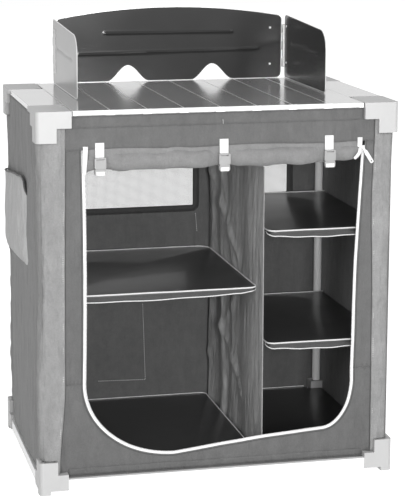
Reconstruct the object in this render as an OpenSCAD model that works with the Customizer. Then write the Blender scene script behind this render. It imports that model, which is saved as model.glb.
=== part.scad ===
// Camp kitchen chuck box: a slatted aluminium worktop on a tube frame with
// moulded corners, a fabric cabinet with shelves hung inside the frame, a
// folding three-panel wind guard on top, and a zipped door rolled up and strapped.
// Front is towards -Y. The origin is on the ground, under the middle.

/* [Overall] */
// Width across the moulded corners
body_w = 800; // [740:10:980]
// Depth across the moulded corners
body_d = 520; // [440:10:640]
// Height of the worktop above the ground
worktop_h = 836; // [760:2:1000]

/* [Frame] */
// Outside diameter of a leg tube
leg_d = 20; // [16:0.5:24]
// Wall of the leg tubes and rails
tube_wall = 1.2; // [0.8:0.1:2]
// Distance of a leg's centre from the outer faces
leg_inset = 22.5; // [19:0.5:26]
// Depth of a rail, across its length
rail_t = 20; // [16:0.5:22]
// Height of a rail
rail_h = 22; // [18:0.5:26]
// Setback of the lower rails from the corners' outer faces
low_rail_setback = 2; // [1.5:0.25:3]
// Free play between a tube and its socket, on each side
socket_play = 0.1; // [0.05:0.05:0.3]

/* [Top corners] */
// Length of the arm along the front or back
top_arm_x = 77; // [65:1:95]
// Length of the arm along the side
top_arm_y = 75; // [65:1:95]
// Height of the arms
top_arm_h = 36; // [32:1:44]
// Depth of the arms behind their outer face
top_arm_t = 37; // [34:1:42]
// Side of the square sleeve round the leg
top_sleeve = 45; // [40:1:52]
// Height of the sleeve, measured from the worktop
top_sleeve_h = 67; // [55:1:90]
// Length of the flat top plate along the front
top_plate_x = 78; // [65:1:80]
// Length of the flat top plate along the side
top_plate_y = 112; // [85:1:130]
// Bevel on the inner corner of the top plate
top_plate_bevel = 16; // [6:1:24]

/* [Bottom corners] */
// Length of the lower arms
low_arm = 64; // [50:1:80]
// Height of the lower arms' top above the ground
low_arm_top = 44; // [40:1:52]
// Depth of the lower arms behind their outer face
low_arm_t = 36; // [28:1:40]
// Side of the square sleeve round the leg
low_sleeve = 41; // [38:1:48]
// Height of the sleeve's top above the ground
low_sleeve_top = 73; // [60:1:100]
// Height of the foot
foot_h = 9; // [5:1:16]
// Side of the square foot
foot_s = 25; // [20:1:34]
// Rounding of the upright corner edges, in plan
corner_r = 10; // [4:1:16]

/* [Worktop] */
// Number of full slats
slat_count = 8; // [8:1:8]
// Width left for the end slat on each side
end_band = 80; // [80:1:90]
// Height of a slat
slat_h = 10.8; // [8:0.2:14]
// Sheet thickness of a slat
slat_t = 1.5; // [1:0.1:2.5]
// Gap between neighbouring slats
slat_gap = 0.8; // [0.4:0.1:2]
// Setback of the slat ends from the front and back faces
slat_setback = 8; // [7:0.5:12]
// Width of a hinge clip
clip_w = 20; // [12:1:26]
// Thickness of a hinge clip, along the slat
clip_t = 5; // [3:0.5:6]

/* [Wind guard] */
// Distance between the two hinge pins
guard_w = 563; // [480:1:600]
// Offset of the guard to the right of the middle
guard_shift = 4.5; // [0:0.5:20]
// Height of the back panel in the middle
guard_h = 176; // [150:1:220]
// Rise of the back panel's arched top edge
guard_rise = 26; // [10:1:40]
// Length of a side wing from its hinge pin
wing_l = 330; // [260:1:360]
// Height of a wing at its front corner, before rounding
wing_front_h = 136; // [110:1:150]
// Height of a wing at its hinge
wing_back_h = 153; // [140:1:165]
// Sheet thickness of the guard
guard_t = 0.8; // [0.6:0.1:1.5]
// Distance of the hinge pins from the back face
guard_inset = 11.5; // [10.5:0.5:20]
// Width of a bell-shaped notch in the bottom edge
notch_w = 104; // [60:1:130]
// Height of a bell-shaped notch
notch_h = 38; // [20:1:60]
// Distance between the two notches, middle to middle
notch_pitch = 207; // [150:1:300]
// Height of a hinge
hinge_h = 104; // [60:1:110]
// Height of the hinge's lower end above the worktop
hinge_z = 26; // [15:1:40]
// Diameter of a hinge pin
hinge_pin_d = 3; // [2:0.2:3.4]

/* [Cabinet] */
// Thickness of the fabric walls
cloth_t = 1; // [0.6:0.1:2]
// Height of the dark band under the worktop
band_h = 27.5; // [20:0.5:40]
// Width of the light corner strips on the front
strip_w = 50; // [30:1:60]
// Left edge of the door opening, from the left outer face
door_left = 101; // [90:1:140]
// Right edge of the door opening at the bottom, from the right outer face
door_right = 92; // [80:1:140]
// How much further right the opening's right edge stands at the top
door_flare = 17; // [0:1:25]
// Height of the opening's lowest point above the ground
door_bottom = 70; // [60:1:120]
// Rise of the opening's bottom edge towards the right corner
door_tilt = 33; // [0:1:50]
// Height of the cloth header above the opening, down from the worktop
door_header = 79; // [70:1:110]
// Place of the dividing wall, from the left outer face
divider_x = 503; // [420:1:520]
// Depth of the ripples in the dividing wall
divider_ripple = 3; // [0:0.5:5]
// Height of the left shelf
shelf_l_h = 432; // [300:1:560]
// Height of the upper right shelf
shelf_ru_h = 556; // [480:1:620]
// Height of the lower right shelf
shelf_rl_h = 303; // [200:1:420]
// Height of the floor boards' top
floor_h = 56; // [46:1:70]
// Thickness of a shelf
shelf_t = 8; // [4:0.5:14]
// Height of the cloth band along a shelf's front edge
shelf_band = 21; // [12:1:30]
// Gap between a shelf and the dividing wall
shelf_gap = 12; // [2:1:30]
// Height of the windows' top, down from the worktop
window_top = 100; // [85:1:140]
// Height of the left window's bottom
window_l_h = 528; // [440:1:600]
// Height of the right window's bottom
window_r_h = 551; // [440:1:620]
// Margin between a window and the dividing wall
window_in = 41; // [20:1:60]
// Margin between a window and the outer faces
window_out = 100; // [70:1:130]
// Width of a thread of the window net
net_thread = 2.4; // [1.6:0.2:4]

/* [Side pocket] */
// Height of the pocket's bottom
pocket_z = 452; // [380:1:520]
// Height of the pocket, at the back
pocket_h = 204; // [120:1:230]
// Front end of the pocket, from the front face
pocket_front = 132; // [95:1:160]
// Back end of the pocket, from the back face
pocket_back = 18; // [16:1:60]

/* [Rolled door] */
// Height of the roll across the middle
roll_h = 46; // [36:1:52]
// Half depth of the roll between its straps
roll_r = 20; // [14:1:22]
// Half depth of the roll under a strap
roll_pinch = 10; // [7:0.5:12]
// Width of the straps
strap_w = 20; // [14:1:25]
// Width of a buckle
buckle_w = 25; // [20:1:30]

/* [Hidden] */
$fn = 48;
hw = body_w / 2;
hd = body_d / 2;
touch = 0.3;                        // gap between pieces that sit close together
eps = 1;                            // overrun of cutting shapes
slat_bottom = worktop_h - slat_h;
rail_top = slat_bottom - 0.2;
rail_z = rail_top - rail_h;
arm_z = worktop_h - top_arm_h;
sleeve_z = worktop_h - top_sleeve_h;
low_rail_z = foot_h + 1.5;
low_rail_top = low_rail_z + rail_h;
rail_seat = 40;                     // distance of a rail's end from the outer face
leg_z0 = foot_h + 11;
leg_z1 = worktop_h - 20;
rail_out = leg_inset - leg_d / 2;               // top rails, flush with the legs' outer sides
cloth_x = hw - rail_out + 0.5;                  // inner face of the side walls
cloth_y = hd - rail_out + 0.5;                  // inner face of the front and back
cloth_z0 = low_rail_top + 0.8;
cloth_z1 = rail_top - 0.8;
slat_pitch = (body_w - 2 * end_band) / slat_count;
slat_y = hd - slat_setback;
guard_y = hd - guard_inset;                     // hinge pin line
guard_z = worktop_h + touch;
panel_y = guard_y + 3;                          // front face of the back panel
knuckle_r = 3;
leaf_t = 0.8;
leaf_w = 40;
knuckles = 5;
knuckle_h = hinge_h / knuckles;
div_x = -hw + divider_x;
div_front = -cloth_y + 12;
door_l = -hw + door_left;
door_r = hw - door_right;
door_top = worktop_h - door_header;
roll_z = door_top - 5 - roll_h / 2;
roll_y = -cloth_y + 10;
roll_x0 = door_l + 9;
roll_x1 = door_r + 5;
strap_x = [door_l + 37, div_x - 94, door_r - 63];
strap_t = 1.2;
strap_y = -cloth_y - cloth_t - touch;           // back of the straps' front run
buckle_y = strap_y - strap_t - touch;
buckle_z = roll_z - 18;
slider_x = door_r + door_flare - 4;
slider_z = roll_z + 6;
pull_lean = 33;                                 // lean of the hanging pull tab
pull_l = 40;
pull_y = strap_y - 5.6;
strip_t = 0.8;                                  // thickness of the corner strips
floor_t = 20;
window_z1 = worktop_h - window_top;

aluminium = [0.80, 0.81, 0.82];
plastic = [0.82, 0.83, 0.84];
tube_white = [0.88, 0.88, 0.89];
dark_cloth = [0.22, 0.23, 0.25];
mid_cloth = [0.45, 0.46, 0.48];
light_cloth = [0.70, 0.71, 0.73];
board_black = [0.10, 0.10, 0.11];
webbing = [0.92, 0.92, 0.90];
steel = [0.62, 0.63, 0.65];

SIDES = ["front_left", "front_right", "rear_left", "rear_right"];
EDGES = ["front", "rear", "left", "right"];

// Sign of a corner along x and y, from its place in SIDES
function sx(i) = i % 2 == 0 ? -1 : 1;
function sy(i) = i < 2 ? -1 : 1;
// Points of an elliptical arc in a plane
function arc(cx, cy, rx, ry, a0, a1, n) =
  [for (i = [0 : n]) let (a = a0 + (a1 - a0) * i / n) [cx + rx * cos(a), cy + ry * sin(a)]];

// Rectangle from two corners
module rect(x0, y0, x1, y1) {
  translate([x0, y0]) square([x1 - x0, y1 - y0]);
}

// Rectangle from two corners, with round corners
module round_rect(x0, y0, x1, y1, r) {
  rect(x0 + r, y0, x1 - r, y1);
  rect(x0, y0 + r, x1, y1 - r);
  for (x = [x0 + r, x1 - r], y = [y0 + r, y1 - r])
    translate([x, y]) circle(r);
}

// Box from two corners
module box(a, b) {
  translate(a) cube(b - a);
}

// Draws a corner piece, made for the right rear, at one of the four corners
module at_corner(i) {
  mirror([sx(i) < 0 ? 1 : 0, 0, 0]) mirror([0, sy(i) < 0 ? 1 : 0, 0]) children();
}

// Outline in x and z, stood upright as a wall with its back face at y
module wall_xz(y, t) {
  translate([0, y, 0]) rotate([90, 0, 0]) linear_extrude(t) children();
}

// Outline in y and z, stood upright as a wall with its low face at x
module wall_yz(x, t) {
  translate([x, 0, 0]) rotate([90, 0, 90]) linear_extrude(t) children();
}

module top_corner(i) {
  color(plastic) at_corner(i) difference() {
    intersection() {
      union() {
        translate([0, 0, slat_bottom]) linear_extrude(slat_h) polygon([
          [hw, hd], [hw - top_plate_x, hd],
          [hw - top_plate_x, hd - top_plate_y + top_plate_bevel],
          [hw - top_plate_x + top_plate_bevel, hd - top_plate_y],
          [hw, hd - top_plate_y]]);
        box([hw - top_arm_x, hd - top_arm_t, arm_z], [hw, hd, worktop_h]);
        box([hw - top_arm_t, hd - top_arm_y, arm_z], [hw, hd, worktop_h]);
        box([hw - top_sleeve, hd - top_sleeve, sleeve_z], [hw, hd, worktop_h]);
      }
      translate([0, 0, sleeve_z - eps]) linear_extrude(top_sleeve_h + 2 * eps)
        round_rect(-hw, -hd, hw, hd, corner_r);
    }
    translate([hw - leg_inset, hd - leg_inset, sleeve_z - eps])
      cylinder(r = leg_d / 2 + socket_play, h = leg_z1 - sleeve_z + eps + touch);
    box([hw - top_arm_x - eps, hd - rail_out - rail_t - socket_play, rail_z - socket_play],
        [hw - rail_seat, hd - rail_out + socket_play, rail_top + socket_play]);
    box([hw - rail_out - rail_t - socket_play, hd - top_arm_y - eps, rail_z - socket_play],
        [hw - rail_out + socket_play, hd - rail_seat, rail_top + socket_play]);
  }
}

module bottom_corner(i) {
  out = low_rail_setback;
  color(plastic) at_corner(i) difference() {
    union() {
      intersection() {
        union() {
          box([hw - low_arm, hd - low_arm_t, foot_h], [hw, hd, low_arm_top]);
          box([hw - low_arm_t, hd - low_arm, foot_h], [hw, hd, low_arm_top]);
          box([hw - low_sleeve, hd - low_sleeve, foot_h], [hw, hd, low_sleeve_top]);
        }
        translate([0, 0, foot_h - eps]) linear_extrude(low_sleeve_top)
          round_rect(-hw, -hd, hw, hd, corner_r);
      }
      intersection() {
        box([hw - foot_s, hd - foot_s, 0], [hw, hd, foot_h + eps]);
        linear_extrude(foot_h + eps) round_rect(-hw, -hd, hw, hd, corner_r);
      }
    }
    translate([hw - leg_inset, hd - leg_inset, leg_z0])
      cylinder(r = leg_d / 2 + socket_play, h = low_sleeve_top);
    box([hw - low_arm - eps, hd - out - rail_t - socket_play, low_rail_z - socket_play],
        [hw - rail_seat - 2, hd - out + socket_play, low_rail_top + socket_play]);
    box([hw - out - rail_t - socket_play, hd - low_arm - eps, low_rail_z - socket_play],
        [hw - out + socket_play, hd - rail_seat - 2, low_rail_top + socket_play]);
  }
}

module leg(i) {
  color(tube_white) at_corner(i) translate([hw - leg_inset, hd - leg_inset, leg_z0]) difference() {
    cylinder(d = leg_d, h = leg_z1 - leg_z0);
    translate([0, 0, -eps]) cylinder(r = leg_d / 2 - tube_wall, h = leg_z1 - leg_z0 + 2 * eps);
  }
}

// Hollow bar along x, centred at x = 0
module bar(len, y0, z0) {
  difference() {
    translate([-len / 2, y0, z0]) cube([len, rail_t, rail_h]);
    translate([-len / 2 - eps, y0 + tube_wall, z0 + tube_wall])
      cube([len + 2 * eps, rail_t - 2 * tube_wall, rail_h - 2 * tube_wall]);
  }
}

// Rail i of EDGES: front, rear, left or right; its outer face stands `out` inside
module rail(i, out, z0, seat) {
  y0 = (i < 2 ? hd : hw) - out - rail_t;
  len = 2 * ((i < 2 ? hw : hd) - seat);
  color(tube_white) rotate([0, 0, [180, 0, 90, 270][i]]) bar(len, y0, z0);
}

module top_rail(i) {
  rail(i, rail_out, rail_z, rail_seat + touch);
}

module bottom_rail(i) {
  rail(i, low_rail_setback, low_rail_z, rail_seat + 2 + touch);
}

// Sheet slat with its four edges folded down
module slat(x0, x1, y0, y1) {
  difference() {
    box([x0, y0, slat_bottom], [x1, y1, worktop_h]);
    box([x0 + slat_t, y0 + slat_t, slat_bottom - eps],
        [x1 - slat_t, y1 - slat_t, worktop_h - slat_t]);
  }
}

module deck_slat(k) {
  x0 = -hw + end_band + (k - 1) * slat_pitch;
  color(aluminium)
    slat(x0 + slat_gap / 2, x0 + slat_pitch - slat_gap / 2, -slat_y, slat_y);
}

module deck_end_slats() {
  y = hd - top_plate_y - 0.6;
  color(aluminium) for (s = [0, 1]) mirror([s, 0, 0])
    slat(hw - end_band + slat_gap / 2, hw - 3, -y, y);
}

module slat_clips() {
  edge = hw - end_band;
  color(plastic) for (s = [0, 1]) mirror([0, s, 0]) for (k = [0 : slat_count])
    let (x = -edge + k * slat_pitch)
      box([max(x - clip_w / 2, -edge), slat_y, slat_bottom],
          [min(x + clip_w / 2, edge), slat_y + clip_t, worktop_h]);
}

// Bell-shaped notch in x and z, with its base on z = 0
module bell() {
  n = 24;
  polygon(concat([[-notch_w / 2, -eps]],
    [for (i = [0 : n]) let (x = -notch_w / 2 + notch_w * i / n)
      [x, notch_h * (0.5 + 0.5 * cos(360 * x / notch_w))]],
    [[notch_w / 2, -eps]]));
}

module windshield_back() {
  half = guard_w / 2 - knuckle_r - 1.5;
  arch_r = (pow(guard_w / 2, 2) + pow(guard_rise, 2)) / (2 * guard_rise);
  tab_w = 20;
  tab_y = hd - 2.2;
  color(steel) translate([guard_shift, 0, 0]) {
    wall_xz(panel_y + guard_t, guard_t) translate([0, guard_z]) difference() {
      intersection() {
        round_rect(-half, 0, half, guard_h, 14);
        translate([0, guard_h - arch_r]) circle(arch_r, $fn = 360);
      }
      for (s = [-1, 1]) translate([s * notch_pitch / 2, 0]) bell();
    }
    // Two bent tabs drop behind the worktop's back edge
    for (s = [-1, 1]) translate([s * guard_w * 0.4 - tab_w / 2, 0, 0]) {
      box([0, panel_y + guard_t, guard_z + 2], [tab_w, tab_y + leaf_t, guard_z + 2 + leaf_t]);
      box([0, tab_y, guard_z - 22], [tab_w, tab_y + leaf_t, guard_z + 2 + leaf_t]);
    }
  }
}

// Right wing of the guard, about its own hinge pin at x = 0
module wing_sheet() {
  front = guard_y - wing_l;
  back = guard_y - knuckle_r - 0.6;
  r = 44;
  wall_yz(knuckle_r - guard_t, guard_t) translate([0, guard_z]) polygon(concat(
    arc(back - 10, 10, 10, 10, -90, 0, 6),
    arc(back - 12, wing_back_h - 12, 12, 12, 0, 88, 6),
    arc(front + r, wing_front_h + 4 - r, r, r, 93, 180, 10),
    arc(front + 12, 12, 12, 12, 180, 270, 6)));
}

module at_wing(s) {
  translate([guard_shift + s * guard_w / 2, 0, 0]) mirror([s < 0 ? 1 : 0, 0, 0]) children();
}

module windshield_left_wing() {
  color(steel) at_wing(-1) wing_sheet();
}

module windshield_right_wing() {
  color(steel) at_wing(1) wing_sheet();
}

// Knuckles of one leaf: those with an even or an odd place up the pin
module knuckle_set(odd, bore) {
  for (k = [odd : 2 : knuckles - 1])
    translate([0, guard_y, guard_z + hinge_z + k * knuckle_h + 0.2]) difference() {
      cylinder(r = knuckle_r, h = knuckle_h - 0.4);
      translate([0, 0, -eps]) cylinder(r = bore, h = knuckle_h + 2 * eps);
    }
}

// Rivet heads of a leaf stand at this distance from the pin
back_rivet = 33;                                // rivets from the pin, on the back panel
wing_rivet = 18;                                // and on a wing
rivet_zs = [guard_z + hinge_z + 8, guard_z + hinge_z + hinge_h - 8];

module hinge_back_leaves() {
  color(steel) for (s = [-1, 1]) at_wing(s) {
    z0 = guard_z + hinge_z;
    back = panel_y + guard_t;
    difference() {
      union() {
        box([-leaf_w, back, z0], [-knuckle_r - 0.4, back + leaf_t, z0 + hinge_h]);
        // Straps through the gap beside the panel, from the knuckles to the leaf
        for (k = [0 : 2 : knuckles - 1])
          box([-knuckle_r - 1, guard_y, z0 + k * knuckle_h + 0.2],
              [-knuckle_r / 2, back + leaf_t, z0 + (k + 1) * knuckle_h - 0.2]);
        knuckle_set(0, hinge_pin_d / 2);
      }
      translate([0, guard_y, z0 - eps]) cylinder(d = hinge_pin_d, h = hinge_h + 2 * eps);
    }
    for (z = rivet_zs) translate([-back_rivet, back + leaf_t, z]) rotate([-90, 0, 0])
      cylinder(r1 = 3.6, r2 = 2.4, h = 1);
  }
}

module wing_leaf() {
  z0 = guard_z + hinge_z;
  x1 = knuckle_r;
  y1 = guard_y - knuckle_r - 0.6;
  difference() {
    union() {
      box([x1, guard_y - leaf_w, z0], [x1 + leaf_t, y1, z0 + hinge_h]);
      // Straps past the wing's edge, from the knuckles to the leaf outside
      for (k = [1 : 2 : knuckles - 1]) {
        box([x1, y1 - 1, z0 + k * knuckle_h + 0.2],
            [x1 + leaf_t, guard_y, z0 + (k + 1) * knuckle_h - 0.2]);
        box([knuckle_r / 2, y1 + 0.3, z0 + k * knuckle_h + 0.2],
            [x1 + eps, guard_y, z0 + (k + 1) * knuckle_h - 0.2]);
      }
      knuckle_set(1, hinge_pin_d / 2 + 0.06);
    }
    translate([0, guard_y, z0 - eps])
      cylinder(r = hinge_pin_d / 2 + 0.06, h = hinge_h + 2 * eps);
  }
  for (z = rivet_zs) translate([x1 + leaf_t, guard_y - wing_rivet, z]) rotate([0, 90, 0])
    cylinder(r1 = 3.6, r2 = 2.4, h = 1);
}

module hinge_left_leaf() {
  color(steel) at_wing(-1) wing_leaf();
}

module hinge_right_leaf() {
  color(steel) at_wing(1) wing_leaf();
}

module hinge_pins() {
  color(steel) for (s = [-1, 1]) at_wing(s)
    translate([0, guard_y, guard_z + hinge_z - 1]) cylinder(d = hinge_pin_d, h = hinge_h + 2);
}

// Outline of a cabinet wall: half width w, clear of the corners' arms and sleeves
module wall_outline(w, half, top_arm) {
  g = 0.5;
  difference() {
    rect(-w, cloth_z0, w, cloth_z1);
    for (s = [0, 1]) mirror([s, 0]) {
      rect(half - top_arm - g, arm_z - g, half + eps, worktop_h);
      rect(half - top_sleeve - g, sleeve_z - g, half + eps, worktop_h);
      rect(half - low_arm - g, 0, half + eps, low_arm_top + g);
      rect(half - low_sleeve - g, 0, half + eps, low_sleeve_top + g);
    }
  }
}

// Door opening in x and z; m moves its sides and bottom outwards
module door_outline(m, top) {
  rx = 200;
  rz = 170;
  qx = 72;
  qz = 109;
  polygon(concat(
    arc(door_l + rx, door_bottom + rz, rx + m, rz + m, 180, 270, 9),
    arc(door_r - qx, door_bottom + door_tilt + qz, qx + m, qz + m, 270, 360, 7),
    [[door_r + door_flare + m, top], [door_l - m, top]]));
}

module cover_front() {
  color(mid_cloth) wall_xz(-cloth_y, cloth_t) difference() {
    wall_outline(cloth_x + cloth_t, hw, top_arm_x);
    door_outline(0, door_top);
  }
}

// Place of each window: left edge, bottom, right edge
windows = [[-hw + window_out, window_l_h, div_x - window_in],
           [div_x + window_in, window_r_h, hw - window_out]];

module cover_rear() {
  color(mid_cloth) wall_xz(cloth_y + cloth_t, cloth_t) difference() {
    wall_outline(cloth_x + cloth_t, hw, top_arm_x);
    for (w = windows) round_rect(w[0], w[1], w[2], window_z1, 10);
  }
}

module cover_left() {
  color(mid_cloth) wall_yz(-cloth_x - cloth_t, cloth_t) wall_outline(cloth_y, hd, top_arm_y);
}

module cover_right() {
  color(mid_cloth) wall_yz(cloth_x, cloth_t) wall_outline(cloth_y, hd, top_arm_y);
}

// Plan of the bottom corners, grown by g, to cut out of what lies between them
module low_keepout(g) {
  for (i = [0 : 3]) mirror([sx(i) < 0 ? 1 : 0, 0]) mirror([0, sy(i) < 0 ? 1 : 0]) {
    rect(hw - low_arm - g, hd - low_arm_t - g, hw + eps, hd + eps);
    rect(hw - low_arm_t - g, hd - low_arm - g, hw + eps, hd + eps);
    rect(hw - low_sleeve - g, hd - low_sleeve - g, hw + eps, hd + eps);
  }
}

module cover_floor() {
  color(dark_cloth) translate([0, 0, low_rail_top + touch]) linear_extrude(cloth_t) difference() {
    rect(-cloth_x, -cloth_y, cloth_x, cloth_y);
    low_keepout(0.5);
  }
}

module cover_band() {
  out = cloth_t + touch;
  z0 = rail_top - band_h;
  color(dark_cloth) {
    for (s = [0, 1]) mirror([0, s, 0])
      box([-hw + top_arm_x + 0.5, cloth_y + out, z0],
          [hw - top_arm_x - 0.5, cloth_y + out + cloth_t, cloth_z1]);
    for (s = [0, 1]) mirror([s, 0, 0])
      box([cloth_x + out, -hd + top_arm_y + 0.5, z0],
          [cloth_x + out + cloth_t, hd - top_arm_y - 0.5, cloth_z1]);
  }
}

// Light strips folded round the four corners, outside the walls
module corner_strips() {
  side = 30;
  z0 = low_sleeve_top + 0.5;
  z1 = sleeve_z - 0.5;
  x0 = cloth_x + cloth_t + touch;
  y0 = cloth_y + cloth_t + touch;
  color(light_cloth) for (i = [0 : 3]) at_corner(i) difference() {
    box([x0 - strip_w, y0 - side, z0], [x0 + strip_t, y0 + strip_t, z1]);
    box([x0 - strip_w - eps, y0 - side - eps, z0 - eps], [x0, y0, z1 + eps]);
  }
}

// Middle of the dividing wall at a place along the depth
function ripple(y) = divider_ripple * sin(y * 360 / 165 + 40) * cos(y * 360 / 410);

module divider_wall() {
  y1 = cloth_y - touch;
  n = 22;
  color(mid_cloth) difference() {
    translate([0, 0, cloth_z0 + cloth_t + touch])
      linear_extrude(arm_z - cloth_z0 - 2 * cloth_t) polygon(concat(
        [for (i = [0 : n]) let (y = div_front + (y1 - div_front) * i / n)
          [div_x + ripple(y), y]],
        [for (i = [n : -1 : 0]) let (y = div_front + (y1 - div_front) * i / n)
          [div_x + ripple(y) + cloth_t, y]]));
    // Room for the rolled door
    box([div_x - 20, div_front - eps, roll_z - roll_h / 2 - 8],
        [div_x + 20, roll_y + roll_r + 6, worktop_h]);
  }
}

// Net of square meshes, lapped on the inner face of the back wall
module window_net(w, cols, rows) {
  lap = 8;
  x0 = w[0] - lap;
  z0 = w[1] - lap;
  dx = (w[2] - w[0] + 2 * lap - net_thread) / cols;
  dz = (window_z1 - w[1] + 2 * lap - net_thread) / rows;
  wall_xz(cloth_y - touch, 0.8) difference() {
    rect(x0, z0, w[2] + lap, window_z1 + lap);
    for (i = [0 : cols - 1], k = [0 : rows - 1])
      translate([x0 + net_thread + i * dx, z0 + net_thread + k * dz])
        square([dx - net_thread, dz - net_thread]);
  }
}

module window_nets() {
  color(light_cloth) {
    window_net(windows[0], 18, 11);
    window_net(windows[1], 9, 10);
  }
}

// Outline of the side pocket in y and z, moved inwards by m
module pocket_outline(m, lift) {
  y0 = -hd + pocket_front;
  y1 = hd - pocket_back;
  z1 = pocket_z + pocket_h;
  polygon([[y0 + m, pocket_z + 30 + m * 0.7], [y0 + 25 + m * 0.7, pocket_z + m],
    [y1 - m, pocket_z + m], [y1 - m, z1 + lift],
    [y0 + 115, z1 + 6 + lift], [y0 + 74 + m * 0.4, z1 - 4 + lift],
    [y0 + 52 + m, z1 - 32], [y0 + 20 + m, z1 - 66], [y0 + 12 + m, z1 - 112]]);
}

module side_pocket() {
  x0 = -hw;
  x1 = -cloth_x - cloth_t - strip_t - 2 * touch;
  color(light_cloth) difference() {
    wall_yz(x0, x1 - x0) pocket_outline(0, 0);
    wall_yz(x0 + cloth_t, x1 - x0) pocket_outline(cloth_t, 40);
  }
}

// Shelf with its board, its round back inner corner and a cloth band in front.
// The board runs from a wall at x_wall to x_free, beside the dividing wall.
module shelf(x_wall, x_free, x_band, z) {
  s = x_wall < x_free ? 1 : -1;
  y0 = div_front + 1;
  y1 = hd - leg_inset - leg_d / 2 - 5;
  r = 38;
  leg_clear = leg_d / 2 + leg_inset + 3;
  color(board_black) {
    translate([0, 0, z - shelf_t]) linear_extrude(shelf_t) difference() {
      union() {
        rect(min(x_wall, x_free), y0, max(x_wall, x_free), y1 - r);
        rect(min(x_wall, x_free - s * r), y0, max(x_wall, x_free - s * r), y1);
        translate([x_free - s * r, y1 - r]) circle(r);
      }
      rect(min(-s * (hw + eps), -s * (hw - leg_clear)), -hd,
           max(-s * (hw + eps), -s * (hw - leg_clear)), -hd + leg_clear);
    }
    xb = -s * (hw - leg_clear);
    box([min(xb, x_band), y0, z - shelf_band], [max(xb, x_band), y0 + 3, z]);
  }
}

module shelf_left() {
  shelf(-cloth_x + touch, div_x - shelf_gap, div_x - 4 - touch, shelf_l_h);
}

module shelf_right_upper() {
  shelf(cloth_x - touch, div_x + shelf_gap, div_x + 4 + cloth_t + touch, shelf_ru_h);
}

module shelf_right_lower() {
  shelf(cloth_x - touch, div_x + shelf_gap, div_x + 4 + cloth_t + touch, shelf_rl_h);
}

module floor_boards() {
  z0 = cloth_z0 + cloth_t + touch;
  y0 = div_front + 1;
  y1 = cloth_y - 6;
  color(board_black) translate([0, 0, z0]) linear_extrude(floor_h - z0) difference() {
    union() {
      round_rect(-cloth_x + touch, y0, div_x - shelf_gap, y1, 14);
      round_rect(div_x + shelf_gap, y0, cloth_x - touch, y1, 14);
    }
    low_keepout(1);
  }
}

// Nearness of x to a strap, from 0 to 1
function near_strap(x) =
  max([for (s = strap_x) exp(-pow(max(0, abs(x - s) - buckle_w / 2 - 6) / 14, 2))]);
// Half depth and half height of the roll at x
function roll_depth(x) = roll_r - (roll_r - roll_pinch) * near_strap(x);
function roll_half(x) = roll_h / 2 - 3 * near_strap(x);
// Height of the roll's middle at x, sagging between the straps
function roll_mid(x) = roll_z - 2 * (1 - near_strap(x)) * (1 + 0.5 * sin(x * 1.4));
// Ripple round the roll where the cloth laps over itself
function lap(a, x) = 1 - 0.07 * pow(max(0, cos(a - 210 - x / 9)), 6) - 0.05 * pow(max(0, cos(a - 160)), 8);

module rolled_door() {
  rings = 70;
  sides = 16;
  pts = [for (i = [0 : rings]) let (x = roll_x0 + (roll_x1 - roll_x0) * i / rings)
    for (k = [0 : sides - 1]) let (a = 360 * k / sides)
      [x, roll_y + roll_depth(x) * lap(a, x) * cos(a), roll_mid(x) + roll_half(x) * lap(a, x) * sin(a)]];
  skin = [for (i = [0 : rings - 1]) for (k = [0 : sides - 1])
    let (a = i * sides + k, b = i * sides + (k + 1) % sides)
      each [[a, a + sides, b], [b, a + sides, b + sides]]];
  ends = [for (k = [1 : sides - 2]) each
    [[0, k, k + 1], [rings * sides, rings * sides + k + 1, rings * sides + k]]];
  color(mid_cloth) polyhedron(pts, concat(skin, ends));
}

module door_zip() {
  color(webbing) wall_xz(strap_y, 0.9) difference() {
    door_outline(4, slider_z + 4);
    door_outline(-4, slider_z + 5);
  }
}

module zip_slider() {
  y0 = strap_y - 0.9;
  color(steel) translate([slider_x, 0, slider_z]) {
    difference() {
      box([-4.5, y0 - 2.6, -7], [4.5, y0 - touch, 7]);
      box([-2.2, y0 - 3, -8], [2.2, y0 - 1.6, -1]);
    }
    // Bail ears and the cross pin that the pull hangs from
    translate([0, pull_y, 2]) rotate([0, -pull_lean, 0]) {
      for (s = [-1, 1]) box([s * 3.2 - 0.6, -1.2, -1.2], [s * 3.2 + 0.6, 2.4, 1.2]);
      translate([-3.8, 0, 0]) rotate([0, 90, 0]) cylinder(r = 0.8, h = 7.6);
    }
  }
}

module zip_pull() {
  color(steel) translate([slider_x, pull_y, slider_z + 2]) rotate([0, -pull_lean, 0])
    difference() {
      union() {
        translate([-2.3, 0, 0]) rotate([0, 90, 0]) cylinder(r = 1.6, h = 4.6);
        box([-2.3, -0.8, -8], [2.3, 0.8, 0]);
        translate([0, 0.8, 0]) rotate([90, 0, 0]) linear_extrude(1.6)
          round_rect(-4.2, -pull_l, 4.2, -7, 3);
      }
      translate([-4, 0, 0]) rotate([0, 90, 0]) cylinder(r = 0.87, h = 8);
      translate([0, 3, -pull_l + 5]) rotate([90, 0, 0]) cylinder(r = 1.8, h = 6);
    }
}

// Unit vector square to the step from p to q
function square_to(p, q) = [p[1] - q[1], q[0] - p[0]] / norm(q - p);
// Points of a path moved sideways by d, with mitred corners
function beside(points, d) = [for (i = [0 : len(points) - 1])
  let (a = square_to(points[max(i - 1, 0)], points[max(i, 1)]),
       b = square_to(points[min(i, len(points) - 2)], points[min(i + 1, len(points) - 1)]))
  points[i] + (a + b) * d / (1 + a * b)];

// Flat band of width w along x, through points in y and z
module band(x, w, points, t) {
  far = beside(points, t / 2);
  near = beside(points, -t / 2);
  wall_yz(x - w / 2, w)
    polygon(concat(near, [for (i = [len(far) - 1 : -1 : 0]) far[i]]));
}

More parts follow.
